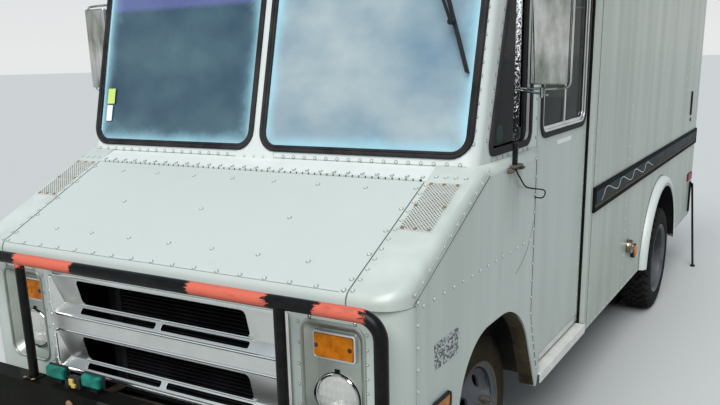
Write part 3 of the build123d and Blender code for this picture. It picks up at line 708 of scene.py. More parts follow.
def glassMaterial():
    tree, shader = newMaterial("windowGlass", IOR=1.1)
    # The dark green tint is painted: it stands for dark trees reflected in the panes and the shade inside the
    # cab
    feed(tree, shader["Base Color"], (0.115, 0.15, 0.125))
    feed(tree, shader["Transmission Weight"], 1.0)
    feed(tree, shader["Roughness"], spread(tree, noise(tree, 3, 6, 0.6), 0.3, 0.8, 0.01, 0.09))


def polishedMaterial():
    tree, shader = newMaterial("polishedSteel", Metallic=1.0)
    look = useGroup(tree, brushed, Bright=(0.62, 0.63, 0.62), Dull=(0.5, 0.51, 0.49), Along=(0.3, 1, 1))
    # Dark olive patches in the colour are a painted reflection of trees in the polished steel
    patches = spread(tree, noise(tree, 16, 5, 0.6, (1, 1, 0.28)), 0.36, 0.66, 0.05, 0.9)
    feed(tree, shader["Base Color"], mixColours(tree, patches, look["Color"], (0.15, 0.17, 0.13)))
    feed(tree, shader["Roughness"], spread(tree, look["Roughness"], 0.22, 0.5, 0.04, 0.13))


def lampGlassMaterial():
    # Fluted glass: upright ribs crossed by slow waves, with a pale colour that stands partly for the
    # highlights in the lens, a painted highlight
    tree, shader = newMaterial("lampGlass", Roughness=0.07, IOR=1.35)
    feed(tree, shader["Base Color"], (0.78, 0.79, 0.76))
    feed(tree, shader["Transmission Weight"], 0.6)
    x, y, z = placeParts(tree)
    ribs = maths(tree, "SINE", times(tree, x, 62 * 2 * pi))
    waves = maths(tree, "SINE", times(tree, z, 34 * 2 * pi))
    addBump(tree, shader, plus(tree, ribs, waves), 0.3, 0.0012)


# Push bar: black with three salmon stretches whose edges are ragged
barLook = dict(
    black=(0.003, 0.003, 0.003), dust=(0.02, 0.02, 0.019), pink=(0.52, 0.115, 0.075),
    scuff=(0.24, 0.055, 0.042), stretches=((-0.678, -0.331), (0.282, 0.626), (0.824, 0.999)), lowest=1.226)


def barMaterial():
    tree, shader = newMaterial("barPaint", 0.15)
    x, y, z = placeParts(tree)
    ragged = spread(tree, noise(tree, 70, 6, 0.8, (0.22, 1, 1)), 0.25, 0.75, -0.036, 0.036)
    along = plus(tree, x, ragged)
    mask = None
    for start, end in barLook["stretches"]:
        inside = times(tree, maths(tree, "GREATER_THAN", along, start), maths(tree, "LESS_THAN", along, end))
        mask = inside if mask is None else plus(tree, mask, inside, True)
    mask = times(tree, mask, maths(tree, "GREATER_THAN", plus(tree, z, ragged), barLook["lowest"]))
    scuffs = spread(tree, noise(tree, 35, 8, 0.75, (0.25, 1, 1)), 0.54, 0.7, 0, 0.75)
    pink = mixColours(tree, scuffs, barLook["pink"], barLook["scuff"])
    dust = spread(tree, noise(tree, 18, 6, 0.7), 0.45, 0.8, 0, 0.4)
    black = mixColours(tree, dust, barLook["black"], barLook["dust"])
    feed(tree, shader["Base Color"], mixColours(tree, mask, black, pink))
    feed(tree, shader["Roughness"], spread(tree, mask, 0, 1, 0.3, 0.62))
    addBump(tree, shader, mask, 0.4, 0.0006)


def peeledMaterial():
    # Mirror post: white, with black paint left in patches that grow towards the foot
    tree, shader = newMaterial("peeledPost", 0.15, Roughness=0.5)
    level = spread(tree, placeParts(tree)[2], 1.6, 2.3, 0.645, 0.435)
    mask = maths(tree, "GREATER_THAN", noise(tree, 120, 5, 0.7), level)
    feed(tree, shader["Base Color"], mixColours(tree, mask, (0.005, 0.005, 0.006), (0.8, 0.81, 0.82)))
    addBump(tree, shader, mask, 0.5, 0.0006)


# Windshield film: where its edges lie, and its tones on the driver's pane and the kerb side pane, which are
# painted sky and cloud reflections; the edge colour is a painted reflection glow and the strip is a tint band
hazeAndReflection = dict(
    middle=0.043, pillar=0.992, bottom=1.664, edge=0.085, edgeColour=(0.42, 0.76, 0.88),
    kerb=((0.02, 0.062, 0.115), (0.085, 0.165, 0.2)), driver=((0.185, 0.3, 0.385), (0.4, 0.475, 0.49)),
    strip=(2.268, 2.292), stripColour=(0.15, 0.165, 0.43))


def hazeAndReflectionMaterial():
    # A dusty film, clear in the middle, with painted sky and cloud reflections in its colour and a pale blue
    # painted reflection glow along the edges
    tree, shader = newMaterial("hazeFilm", Roughness=0.06)
    feed(tree, shader["Coat Weight"], 1.0)
    feed(tree, shader["Coat Roughness"], 0.02)
    x, y, z = placeParts(tree)
    across = maths(tree, "ABSOLUTE", x)
    nearest = maths(tree, "MINIMUM", maths(tree, "SUBTRACT", across, hazeAndReflection["middle"]),
                    maths(tree, "SUBTRACT", hazeAndReflection["pillar"], across))
    nearest = maths(tree, "MINIMUM", nearest, maths(tree, "SUBTRACT", z, hazeAndReflection["bottom"]))
    wander = spread(tree, noise(tree, 5, 4, 0.6), 0.3, 0.7, 0.6, 1.5)
    edgeReflection = spread(tree, times(tree, nearest, wander), 0.0, hazeAndReflection["edge"], 1.0, 0.0)
    edgeReflection = maths(tree, "POWER", edgeReflection, 2.4, True)
    # The cloud pattern and the pane tones below are painted sky and cloud reflections
    clouds = spread(tree, noise(tree, 2.2, 4, 0.5, (1, 0.3, 1.6)), 0.34, 0.7)
    smears = spread(tree, noise(tree, 60, 5, 0.75), 0.6, 0.85, 0, 0.1)
    onDriverSide = spread(tree, x, -0.02, 0.02)
    veil = plus(tree, spread(tree, clouds, 0, 1, 0.66, 0.74), smears, True)
    veil = plus(tree, veil, times(tree, onDriverSide, 0.1), True)
    driver = mixColours(tree, clouds, *hazeAndReflection["driver"])
    tone = mixColours(tree, onDriverSide, mixColours(tree, clouds, *hazeAndReflection["kerb"]), driver)
    strip = times(tree, spread(tree, z, *hazeAndReflection["strip"]), 0.75)
    tone = mixColours(tree, strip, tone, hazeAndReflection["stripColour"])
    feed(tree, shader["Base Color"], mixColours(tree, edgeReflection, tone, hazeAndReflection["edgeColour"]))
    feed(tree, shader["Alpha"], maths(tree, "MAXIMUM", veil, edgeReflection))


def mirrorMaterial():
    tree, shader = newMaterial("mirrorGlass", Metallic=1.0, Roughness=0.02)
    spots = spread(tree, noise(tree, 30, 5, 0.7), 0.6, 0.8)
    feed(tree, shader["Base Color"], mixColours(tree, spots, (0.88, 0.89, 0.9), (0.7, 0.7, 0.68)))


def foilMaterial():
    # A small printed foil: a fine black and silver pattern without any sign on it
    tree, shader = newMaterial("foilPattern", Roughness=0.3)
    cells = addNode(tree, "ShaderNodeTexVoronoi", Vector=fromPlace(tree), Scale=130.0, Randomness=0.9)
    tone = addNode(tree, "ShaderNodeSeparateColor")
    feed(tree, tone.inputs[0], cells.outputs["Color"])
    mask = spread(tree, tone.outputs[0], 0.42, 0.6)
    feed(tree, shader["Base Color"], mixColours(tree, mask, (0.02, 0.024, 0.022), (0.4, 0.43, 0.43)))


def rivetMaterial():
    # Body paint, with a painted highlight that makes the heads paler on the sides, and a dark ring round each
    # head that is grime and painted shade
    tree, shader = paintMaterial("rivetPaint", (0.5, 0.545, 0.512), (0.62, 0.66, 0.63), 0.35, 0.2)
    ring = addNode(tree, "ShaderNodeAttribute", attribute_name="ring").outputs["Fac"]
    x, y, z = placeParts(tree)
    # Painted highlight: heads on the sides of the body are made paler
    sideHighlight = spread(tree, maths(tree, "ABSOLUTE", x), halfWidth - 0.01, halfWidth, 0, 0.85)
    colour = mixColours(tree, sideHighlight, shader["Base Color"].links[0].from_socket, (0.8, 0.83, 0.8))
    # The dark ring is grime and painted shade round each head, weaker towards the rear
    grime = times(tree, ring, spread(tree, y, -1.0, -0.6, 0.9, 0.6))
    feed(tree, shader["Base Color"], mixColours(tree, grime, colour, (0.085, 0.088, 0.075)))


stainPaint()
for makeFinish in (glassMaterial, polishedMaterial, lampGlassMaterial, barMaterial, peeledMaterial,
                   hazeAndReflectionMaterial, mirrorMaterial, foilMaterial, rivetMaterial):
    makeFinish()
print("materials ready")

makeWire()
slotMaterials = dict(
    body_paint="bodyPaint", roof_paint="roofPaint", chassis_black="chassisPaint", bumper_black="blackPaint",
    bar_paint="barPaint", cab_trim="trimPlastic", window_glass="windowGlass", lamp_glass="windowGlass",
    lamp_amber="amberLens", seat_vinyl="seatVinyl", engine_iron="engineIron", exhaust_steel="chassisPaint",
    floor_metal="floorMetal", grille_aluminium="grilleMetal", counter_steel="stainless",
    wire_rubber="blackRubber", mirror_steel="stainless", radiator_black="trimPlastic",
    vent_aluminium="grilleMetal", rail_rubber="trimPlastic", wheel_plastic="trimPlastic",
    tyre_rubber="tyreRubber")
slotOf = {row["node"]: row["material_slot"] for row in frame["record"]["subparts"]}
for name, node in nodes.items():
    node.data.materials.clear()
    node.data.materials.append(bpy.data.materials[slotMaterials[slotOf[name]]])


# Rivets: one small dome with a thin skirt; each step is along, radius and share of the dark ring, which is
# grime and painted shade
rivet = dict(
    sides=9,
    steps=((-0.0004, 0.0104, 0), (0.0003, 0.01, 0.55), (0.0005, 0.008, 1), (0.0024, 0.0064, 0.5),
        (0.0035, 0.0034, 0)))


def makeRivetHead():
    outline = [step[:2] for step in rivet["steps"]]
    head = turned("rivetHead", (0, 0, 0), upwards, outline, rivet["sides"])
    ring = head.data.attributes.new("ring", "FLOAT", "POINT")
    for vert, value in zip(head.data.vertices, ring.data):
        value.value = min(rivet["steps"], key=lambda step: abs(step[1] - vert.co.xy.length))[2]
    return head


rivetHead = makeRivetHead()


def oneRivet(spot, normal, size=1.0):
    turn = Vector(normal).to_track_quat("Z", "Y").to_matrix().to_4x4()
    return copyAt(rivetHead, Matrix.Translation(spot) @ turn @ Matrix.Scale(size, 4))


def rivetRow(start, end, pitch, normal, size=1.0):
    along = Vector(end) - Vector(start)
    count = max(2, round(along.length / pitch) + 1)
    return repeat(oneRivet(start, normal, size), count, along / (count - 1))


# Rows in the flat of the sides: (y, z) of both ends, pitch and size
sideRows = dict(
    body=(((-2.998, 1.286), (-2.377, 1.5905), 0.063, 1), ((-2.934, 1.233), (-1.858, 1.227), 0.083, 1),
        ((-2.977, 1.255), (-2.977, 0.941), 0.08, 1), ((-2.977, 0.861), (-2.977, 0.54), 0.08, 1),
        ((-1.803, 1.58), (-1.811, 0.869), 0.081, 1), ((-1.795, 0.802), (-1.7, 0.562), 0.052, 1),
        ((-0.775, 2.572), (2.98, 2.572), 0.09, 0.85), ((-0.745, 0.472), (0.62, 0.472), 0.1, 0.85),
        ((1.96, 0.5), (2.96, 0.5), 0.1, 0.85)),
    cab=(((-2.128, 2.195), (-2.289, 1.705), 0.051, 0.85), ((-2.0, 2.5), (-2.1, 2.24), 0.051, 0.85),
        ((-1.693, 1.66), (-1.693, 2.5), 0.0825, 0.85), ((-2.235, 1.624), (-1.8, 1.624), 0.06, 0.8),
        ((-1.758, 2.4), (-2.02, 2.4), 0.0825, 0.85)))
# Upright seams of the body sides, broken by the rub rail and by the wheel arch
sideSeams = dict(
    y=(-0.745, 0.12, 1.32, 2.27, 2.965), low=0.5, high=2.56, rail=(1.13, 1.31), pitch=0.0895,
    arch=(0.79, 1.85), archTop=1.07)


def sideSeamRows(side):
    rows = []
    railLow, railHigh = sideSeams["rail"]
    for y in sideSeams["y"]:
        low = sideSeams["archTop"] if sideSeams["arch"][0] < y < sideSeams["arch"][1] else sideSeams["low"]
        for bottom, top in ((railHigh, sideSeams["high"]), (low, railLow)):
            if top - bottom > 0.1:
                x = side * halfWidth
                rows.append(rivetRow((x, y, bottom + 0.03), (x, y, top - 0.01), sideSeams["pitch"],
                                     (side, 0, 0), 0.85))
    return rows


def makeBodyRivets():
    rows = []
    for side in sides.values():
        for group, x in (("body", side * halfWidth), ("cab", side * cabHalf)):
            rows += [rivetRow((x, *start), (x, *end), pitch, (side, 0, 0), size)
                     for start, end, pitch, size in sideRows[group]]
        rows += sideSeamRows(side)
        # Fender top, corner of the front, windshield edge and end of the cowl
        edge = [onGlass(side * 1.018, z, -0.0135) for z in (1.7, 2.5)]
        rows += [rivetRow(onNose(side * 0.896, -3.078), onNose(side * 0.896, -2.53), 0.056, noseUp, 0.85),
                 rivetRow((side * 0.944, frontY, 1.15), (side * 0.944, frontY, 0.79), 0.051, ahead, 0.7),
                 rivetRow(*edge, 0.0507, (side * 0.63, -0.75, 0.2), 0.85),
                 rivetRow(onNose(side * 0.915, -2.478), onNose(side * 1.035, -2.478), 0.04, noseUp, 0.95)]
        # Grille flange and rear wall
        rows.append(rivetRow((side * 0.67, frontY, 1.158), (side * 0.664, frontY, 0.77), 0.078, ahead,
                             0.75))
        for x, low, high in ((0.73, 0.8, 2.42), (1.035, 0.5, 2.56)):
            rows.append(rivetRow((side * x, rearY, low), (side * x, rearY, high), 0.09, behind, 0.85))
    rows.append(rivetRow((-1.0, rearY, 2.5), (1.0, rearY, 2.5), 0.09, behind, 0.85))
    # Cowl: behind the hood hinge, below the windshield and on the centre pillar's foot
    rows.append(rivetRow(onNose(-0.861, -2.484, 0.001), onNose(0.861, -2.484, 0.001), 0.0662, noseUp, 0.9))
    for x0, x1, z, lift, pitch in ((-0.98, -0.155, 1.6225, 0, 0.056), (0.155, 0.98, 1.6225, 0, 0.056),
                                   (-0.0548, 0.0496, 1.619, 0.003, 0.0522)):
        rows.append(rivetRow(onGlass(x0, z, lift), onGlass(x1, z, lift), pitch, glassOut, 0.9))
    for y in roofSeams:
        rows.append(rivetRow((-0.93, y, 2.8), (0.93, y, 2.8), 0.1, upwards, 0.8))
    finishSet("bodyRivets", rows, "rivetPaint", "body_paint", angle=50)


# Rows across the hood: y, left end, right end and pitch
hoodRows = (
    (-3.08, -0.8615, 0.8634, 0.108), (-2.977, -0.658, 0.657, 0.2192), (-2.77, -0.45, 0.437, 0.4435),
    (-2.567, -0.658, 0.657, 0.2192))


def makeHoodRivets():
    rows = [rivetRow(onNose(x0, y), onNose(x1, y), pitch, noseUp) for y, x0, x1, pitch in hoodRows]
    rows += [rivetRow(onNose(side * 0.865, -3.03), onNose(side * 0.865, -2.55), 0.127, noseUp)
             for side in sides.values()]
    finishSet("hoodRivets", rows, "rivetPaint", "body_paint", body="hood", angle=50)


# CAD forms that are kept whole, with how far their edges are rolled over
skins = dict(
    nose_front=0.003, nose_left=0.002, nose_right=0.002, hood=0.003, front_frame=0.002, roof=0.002,
    side_left=0.002, side_right=0.002, rear_frame=0.002, chassis_frame=0.003, leaf_springs=0.002,
    front_axle=0.004, rear_axle=0.004, knuckle_left=0.003, knuckle_right=0.003, fuel_tank=0.003,
    exhaust=0.002, engine=0.012, engine_cover=0.004, floor=0.0025, kitchen_counter=0.003, steering_wheel=0,
    rear_bumper=0.004, stabiliser_legs=0.0015, dashboard=0.006, cab_door_left=0.002, cab_door_right=0.002,
    rear_door_left=0.003, rear_door_right=0.003, serving_hatch=0.003, front_bumper=0.004, push_bar=0)
# The hood and the windshield frame take the lighter copies of the body paint, which paint in the sky light on
# them
skinPaints = dict(hood="hoodPaint", front_frame="framePaint", side_left="sidePaint", side_right="sidePaint")
skinNames = dict(serving_hatch="servingHatchSkin", front_bumper="frontBumperSkin", push_bar="pushBarSkin")
movingNodes = (
    "hood", "knuckle_left", "knuckle_right", "steering_wheel", "cab_door_left", "cab_door_right",
    "rear_door_left", "rear_door_right", "serving_hatch")
flare = dict(x=1.124, z=0.43, ring=(0.574, 0.582), round=0.02)


def onFlareEdge(place, along):
    reach = hypot(place.y - rearAxleY, place.z - flare["z"])
    return abs(place.x) > flare["x"] and flare["ring"][0] < reach < flare["ring"][1]


def makeSkin(node, bevel):
    # A copy of a CAD panel: merged, its flat faces joined up, its edges rolled over
    skin = bpy.data.objects.new(skinNames.get(node, node + "Skin"), nodes[node].data.copy())
    bpy.context.scene.collection.objects.link(skin)
    pickOnly(skin)
    bpy.ops.mesh.customdata_custom_splitnormals_clear()
    editAll(skin)
    bpy.ops.mesh.remove_doubles(threshold=0.00002)
    bpy.ops.mesh.dissolve_limited(angle_limit=radians(0.8))
    editDone()
    if node in ("side_left", "side_right"):
        editPick(skin, onFlareEdge, "EDGE")
        bpy.ops.mesh.bevel(offset=flare["round"], segments=5)
        editDone()
    rollEdges(skin, bevel, 38)
    slot = slotOf[node]
    finishPiece(skin, skinPaints.get(node, slotMaterials[slot]), slot,
                node if node in movingNodes else "root", [node])


for node, bevel in skins.items():
    makeSkin(node, bevel)
makeBodyRivets()
makeHoodRivets()
print("body skins and rivets ready")

# Seams of the nose and body, the centre pillar's foot and the hood's hinge roll
lap = dict(
    strip=((-2.985, 1.262), (-2.36, 1.58), (-2.36, 1.61), (-2.991, 1.29)), thick=0.0015,
    foot=((-0.108, 1.606), (0.108, 1.606), (0.10044, 1.64), (-0.10044, 1.64)))
seams = dict(
    noseSeam=(0.0004, 0.0016, 2,
        ((-1.794, 1.585), (-1.797, 1.2), (-1.802, 0.869), (-1.786, 0.802), (-1.691, 0.552))),
    noseScratch=(0.0002, 0.0008, 3, ((-2.025, 1.111), (-1.93, 1.15), (-1.855, 1.215), (-1.808, 1.3))),
    bodySeam=(0.0002, 0.0014, 3, ((-0.77, 0.48), (-0.77, 2.56))),
    lapLine=(0.0014, 0.0012, 2, ((-2.354, 1.5795), (-2.99, 1.2605), (-3.006, 1.249))))
hinge = dict(parts=58, radius=0.0062, reach=hoodHalf - 0.015, z=hoodHingeZ + 0.001, foldY=-3.0885)


def makeSeams():
    strip = makePlate("panelLaps", [(halfWidth, y, z) for y, z in lap["strip"]], 0, lap["thick"], 0.0005)
    foot = [onGlass(x, z, 0.0005) for x, z in lap["foot"]]
    finishSet("pillarFoot", [makePlate("pillarFoot", foot, 0.006, 0.003, 0.001)], "framePaint", "body_paint")
    finishPair("panelLaps", [strip], "bodyPaint", "body_paint")
    lines = []
    for name, (lift, radius, order, route) in seams.items():
        # The scratch is on the driver's side alone
        for side in (1,) if name == "noseScratch" else (1, -1):
            points = [(side * (halfWidth + lift), y, z) for y, z in route]
            lines.append(makeTube(name, points, radius, 1, order))
    finishSet("noseSeams", lines, "darkLiner", "rail_rubber")


def makeHoodHinge():
    reach, z = hinge["reach"], hinge["z"]
    pitch = 2 * reach / hinge["parts"]
    knuckle = startDisc("hoodHinge", (-reach, hoodHingeY, z), (-reach + pitch * 0.8, hoodHingeY, z),
                        hinge["radius"], 10)
    repeat(knuckle, hinge["parts"], (pitch, 0, 0))
    finishPiece(knuckle, "bodyPaint", "body_paint")
    pin = startDisc("hoodHingePin", (-reach, hoodHingeY, z), (reach, hoodHingeY, z), hinge["radius"] * 0.75,
                    10)
    finishPiece(pin, "finBlack", "chassis_black", "hood")
    fold = [onNose(x, hinge["foldY"]) for x in (-hoodHalf + 0.03, hoodHalf - 0.03)]
    finishPiece(makeTube("hoodFold", fold, 0.0011, 1, 2), "bodyPaint", "body_paint", "hood")


makeSeams()
makeHoodHinge()

# Grille: a stamped frame with two recesses, each with an upper wall that slopes back to a slotted shelf;
# a row is the z of its bottom, its shelf and its top
grille = dict(
    half=0.638, low=0.742, high=1.19, face=-3.087, mouth=0.605, sheet=0.0022, depth=0.03, endSlope=0.034,
    open=0.446, corner=0.03, bead=0.0065, rows=((1.006, 1.048, 1.178), (0.758, 0.8, 0.931)),
    slots=((-0.446, -0.02), (0.012, 0.446)), screws=(0.622, 1.1485, 0.7905, 0.0512))


def grilleCutter(x0, x1, z0, z1, corner, steps):
    face = grille["face"]
    block = startBlock("opening", (x0, face - 0.05, z0), (x1, face + 0.08, z1))
    editPick(block, lambda place, along: abs(along.y) > 0.9, "EDGE")
    bpy.ops.mesh.bevel(offset=corner, segments=steps)
    editDone()
    return block


def pressShelf(sheet, bottom, shelf, top):
    # Each recess is inset, cut along its shelf, and the shelf is pushed back with its ends drawn in
    inside = grille["mouth"] - 0.004
    editPick(sheet, lambda place, normal: abs(place.x) < 0.3 and bottom < place.z < top)
    bpy.ops.mesh.inset(thickness=0.006, depth=0)
    bpy.ops.mesh.bisect(plane_co=(0, grille["face"], shelf), plane_no=upwards)
    editDone()
    editPick(sheet, lambda place, normal: abs(place.z - shelf) < 0.001 and abs(place.x) < inside, "VERT")
    bpy.ops.transform.translate(value=(0, grille["depth"], 0))
    editDone()
    for end in (-1, 1):
        editPick(sheet, lambda place, normal: abs(place.z - shelf) < 0.001 and 0.4 < end * place.x < inside,
                 "VERT")
        bpy.ops.transform.translate(value=(-end * grille["endSlope"], 0, 0))
        editDone()


def makeGrille():
    half, low, high, face = grille["half"], grille["low"], grille["high"], grille["face"]
    mouth, reach = grille["mouth"], grille["open"]
    sheet = startPanel("grilleFrame", frontCorners(-half, half, low, high, face), 0.012, 3)
    for bottom, shelf, top in grille["rows"]:
        for z in (bottom, top):
            cutPlane(sheet, (0, face, z), upwards)
    for x in (-mouth, mouth):
        cutPlane(sheet, (x, face, 1), outwards)
    for row in grille["rows"]:
        pressShelf(sheet, *row)
    thicken(sheet, grille["sheet"], -1.0)
    cutters, beads = [], []
    for bottom, shelf, top in grille["rows"]:
        cutters.append(grilleCutter(-reach, reach, shelf + 0.009, top - 0.012, 0.02, 4))
        cutters += [grilleCutter(x0, x1, bottom + 0.013, shelf - 0.008, 0.007, 3)
                    for x0, x1 in grille["slots"]]
        edge = frontCorners(-mouth - 0.003, mouth + 0.003, bottom - 0.003, top + 0.003, face)
        beads.append(makeBead("grilleBead", edge, grille["corner"], grille["bead"]))
        # A rolled lip along the opening's lower edge
        lip = face + grille["depth"] - 0.004
        beads.append(makeTube("shelfLip", [(x, lip, shelf + 0.006) for x in (-reach - 0.01, reach + 0.01)],
                              0.0045, 2))
    cutOut(sheet, cutters)
    rollEdges(sheet, 0.002, 25)
    # Edge returns that reach back to the front face
    returns = frontCorners(-half + 0.004, half - 0.004, low + 0.003, high - 0.003, frontY - 0.001)
    finishSet("grilleFrame", [sheet, makeBand("grilleReturn", returns, 0.01, 0.006, 0.009)], "grilleMetal",
              "grille_aluminium", stands=["grille"])
    finishSet("grilleBeads", beads, "beadMetal", "grille_aluminium")
    x, top, bottom, pitch = grille["screws"]
    finishSet("grilleRivets", [rivetRow((side * x, face, top), (side * x, face, bottom), pitch, ahead, 0.8)
                               for side in sides.values()], "grilleMetal", "grille_aluminium")


# Condenser behind the openings: two frame strips, a tube header and rows of fins
condenser = dict(
    front=-2.985, back=-2.83, low=0.66, high=1.16, left=-0.29, right=0.47, edge=-0.43, pitch=0.0165,
    slat=0.0045)
baffle = dict(x=0.637, front=-3.06, back=-2.79, low=0.56, high=1.2, thick=0.005)


def makeCondenser():
    front, back, low, high = (condenser[key] for key in ("front", "back", "low", "high"))
    left, right, edge = condenser["left"], condenser["right"], condenser["edge"]
    parts = [roundedBlock("condenserBack", (edge, back, low), (right, back + 0.05, high), 0.004),
             roundedBlock("condenserHeader", (edge, front + 0.05, low), (edge + 0.045, back + 0.01, high),
                          0.008)]
    parts += [roundedBlock("condenserStrip", (x, front - 0.006, low), (x + 0.028, back + 0.01, high), 0.003)
              for x in (left - 0.03, right)]
    parts += [roundedBlock("condenserRail", (left, front, z), (right, front + 0.04, z + 0.02), 0.003)
              for z in (low, high - 0.02)]
    slat = roundedBlock("condenserSlat", (left, front, low + 0.02),
                        (right, front + 0.03, low + 0.02 + condenser["slat"]), 0.0015, 1)
    parts.append(repeat(slat, int((high - low - 0.05) / condenser["pitch"]), (0, 0, condenser["pitch"])))
    x, front, back, low, high, thick = baffle.values()
    parts.append(startBlock("baffleBack", (-x, back, 0.5), (x, back + thick, high)))
    parts.append(startBlock("baffleFloor", (-x + 0.007, front, low), (x - 0.007, back, low + thick)))
    parts += [startBlock("baffleSide", (side * (x - 0.005), front, low), (side * (x - 0.001), back, high))
              for side in sides.values()]
    finishSet("condenser", parts, "finBlack", "radiator_black", stands=["radiator"])


makeGrille()
makeCondenser()
print("grille and condenser ready")

# Headlamps: a pressed pan with a rolled rim, a round sealed lamp and a park lamp above it
pan = dict(
    x=(0.676, 0.94), z=(0.752, 1.178), corner=0.052, rim=0.013, depth=0.041, taper=0.031, step=0.006,
    face=-3.0765, screws=((0.72, 0.9), 1.182), hole=0.0925)
headlamp = dict(
    x=0.8, z=0.885, floor=-3.032, notches=((0, 0.098, 0.01, 0.006), (-0.098, 0, 0.006, 0.01)),
    gap=((-0.012, 0.08), (-0.012, 0.0965), (0.003, 0.0965), (0.003, 0.08)),
    ring=((-0.01, 0.078), (-0.01, 0.089), (0.008, 0.0895), (0.0115, 0.0865), (0.0115, 0.0815),
        (0.008, 0.078)),
    bowl=((0.006, 0.0815), (-0.018, 0.074), (-0.04, 0.056), (-0.056, 0.026), (-0.06, 0.012),
        (-0.0585, 0.012), (-0.0545, 0.026), (-0.0385, 0.0545), (-0.0165, 0.0725), (0.006, 0.0795)),
    lens=((0.004, 0.0805), (0.008, 0.081), (0.0125, 0.076), (0.0195, 0.06), (0.0245, 0.036),
        (0.0265, 0.012)))
parkLamp = dict(
    x=(0.7066, 0.8833), z=(1.0225, 1.1268), lensX=(0.716, 0.875), lensZ=(1.032, 1.117),
    boss=((0, 0.016), (0.003, 0.015), (0.003, 0.011), (0.001, 0.01)))


def makePans():
    (x0, x1), (z0, z1), face, step = pan["x"], pan["z"], pan["face"], pan["step"]
    liner = startPanel("lampPan", frontCorners(x0, x1, z0, z1, face), pan["corner"], 6)
    editAll(liner)
    bpy.ops.mesh.inset(thickness=pan["rim"])
    push((0, step, 0))
    width, height = x1 - x0 - 2 * pan["rim"], z1 - z0 - 2 * pan["rim"]
    push((0, pan["depth"] - step, 0))
    taper = 2 * pan["taper"]
    bpy.ops.transform.resize(value=((width - taper) / width, 1, (height - taper) / height),
                             center_override=((x0 + x1) / 2, 0, (z0 + z1) / 2))
    editDone()
    thicken(liner, 0.0012, -1.0)
    x, z = headlamp["x"], headlamp["z"]
    cutOut(liner, [startDisc("lampHole", (x, face - 0.1, z), (x, face + 0.1, z), pan["hole"], 48)])
    rollEdges(liner, 0.003, 30, 3)
    rim = makeBead("panRim", frontCorners(x0 + step, x1 - step, z0 + step, z1 - step, face),
                   pan["corner"] - step, 0.0048)
    finishPair("lampPans", [liner, rim], "panMetal", "body_paint")


def makeHeadlamps():
    x, z, floorY = headlamp["x"], headlamp["z"], headlamp["floor"]
    centre = (x, floorY, z)
    gap = [turned("lampGap", centre, ahead, headlamp["gap"], 48, True)]
    gap += [startBlock("lampNotch", (x + dx - w, floorY - 0.006, z + dz - h),
                       (x + dx + w, floorY + 0.004, z + dz + h)) for dx, dz, w, h in headlamp["notches"]]
    finishPair("lampGaps", gap, "finBlack", "radiator_black")
    screwX, screwZ = pan["screws"]
    rings = [turned("lampRing", centre, ahead, headlamp["ring"], 48, True),
             turned("lampBowl", centre, ahead, headlamp["bowl"], 40, True)]
    rings += [oneRivet((x, pan["face"] - 0.001, screwZ), ahead, 0.8) for x in screwX]
    finishPair("lampRings", rings, "polishedSteel", "mirror_steel")
    lens = turned("headlampLens", centre, ahead, headlamp["lens"])
    finishPair("headlampLenses", [lens], "lampGlass", "lamp_glass", stands=["headlamps"])


def makeParkLamps():
    floorY = headlamp["floor"] - 0.002
    bezel = makeBand("parkBezel", frontCorners(*parkLamp["x"], *parkLamp["z"], floorY), 0.014, 0.01, 0.014,
                     0.003)
    finishPair("parkBezels", [bezel], "brightAluminium", "rail_rubber")
    (x0, x1), (z0, z1) = parkLamp["lensX"], parkLamp["lensZ"]
    lens = makePlate("parkLens", frontCorners(x0, x1, z0, z1, floorY), 0.012, 0.019, 0.005)
    middleX, middleZ = (x0 + x1) / 2, (z0 + z1) / 2
    boss = turned("parkBoss", (middleX, floorY - 0.0185, middleZ), ahead, parkLamp["boss"], 24)
    finishPair("parkLenses", [lens, boss], "amberLens", "lamp_amber")
    screws = [oneRivet((x, floorY - 0.019, middleZ), ahead, 0.9) for x in (x0 + 0.012, x1 - 0.012)]
    finishPair("parkScrews", screws, "chassisPaint", "mirror_steel")


makePans()
makeHeadlamps()
makeParkLamps()
print("headlamps ready")

# Windshield: two-part rubber seals, a hazy film with a painted sky reflection on the panes, and the wipers
shield = dict(
    x=(0.017, 1.021), z=(1.638, 2.422), corner=0.088, outer=0.017, inner=0.013, sink=0.02, film=0.006)


def shieldCorners(inset, lift):
    (x0, x1), (z0, z1) = shield["x"], shield["z"]
    return glassCorners(x0 + inset, x1 - inset, z0 + inset, z1 - inset, lift)


def makeWindshieldTrim():
    wide, thin, sink, corner = shield["outer"], shield["inner"], shield["sink"], shield["corner"]
    outer = makeBand("shieldSeal", shieldCorners(0, 0.004 - sink), corner, wide, sink + 0.005, 0.005)
    inner = makeBand("shieldLip", shieldCorners(wide - 0.001, 0.004 - sink), corner - wide, thin,
                     sink + 0.001, 0.004)
    finishPair("shieldSeals", [outer, inner], "sealRubber", "rail_rubber")
    edge = wide + thin
    film = startPanel("shieldFilm", shieldCorners(edge - 0.004, -shield["film"]), corner - edge, 5)
    finishPair("shieldFilms", [film], "hazeFilm", "window_glass")


# Wipers as (x, z) on the glass: pivot, clip, upper end and tip of the blade
wiper = dict(
    driver=((0.735, 2.47), (0.896, 2.15), (0.8, 2.395), (0.975, 1.962)),
    kerb=((-0.3, 2.47), (-0.62, 2.395), (-0.36, 2.385), (-0.88, 2.392)), lift=0.034,
    cap=((-0.01, 0.019), (0.02, 0.019), (0.028, 0.012)), arm=0.0062, half=0.006,
    blade=(("wiperFrame", 1.0, 0.012, 0.02), ("wiperRubber", 0.55, -0.001, 0.013)))


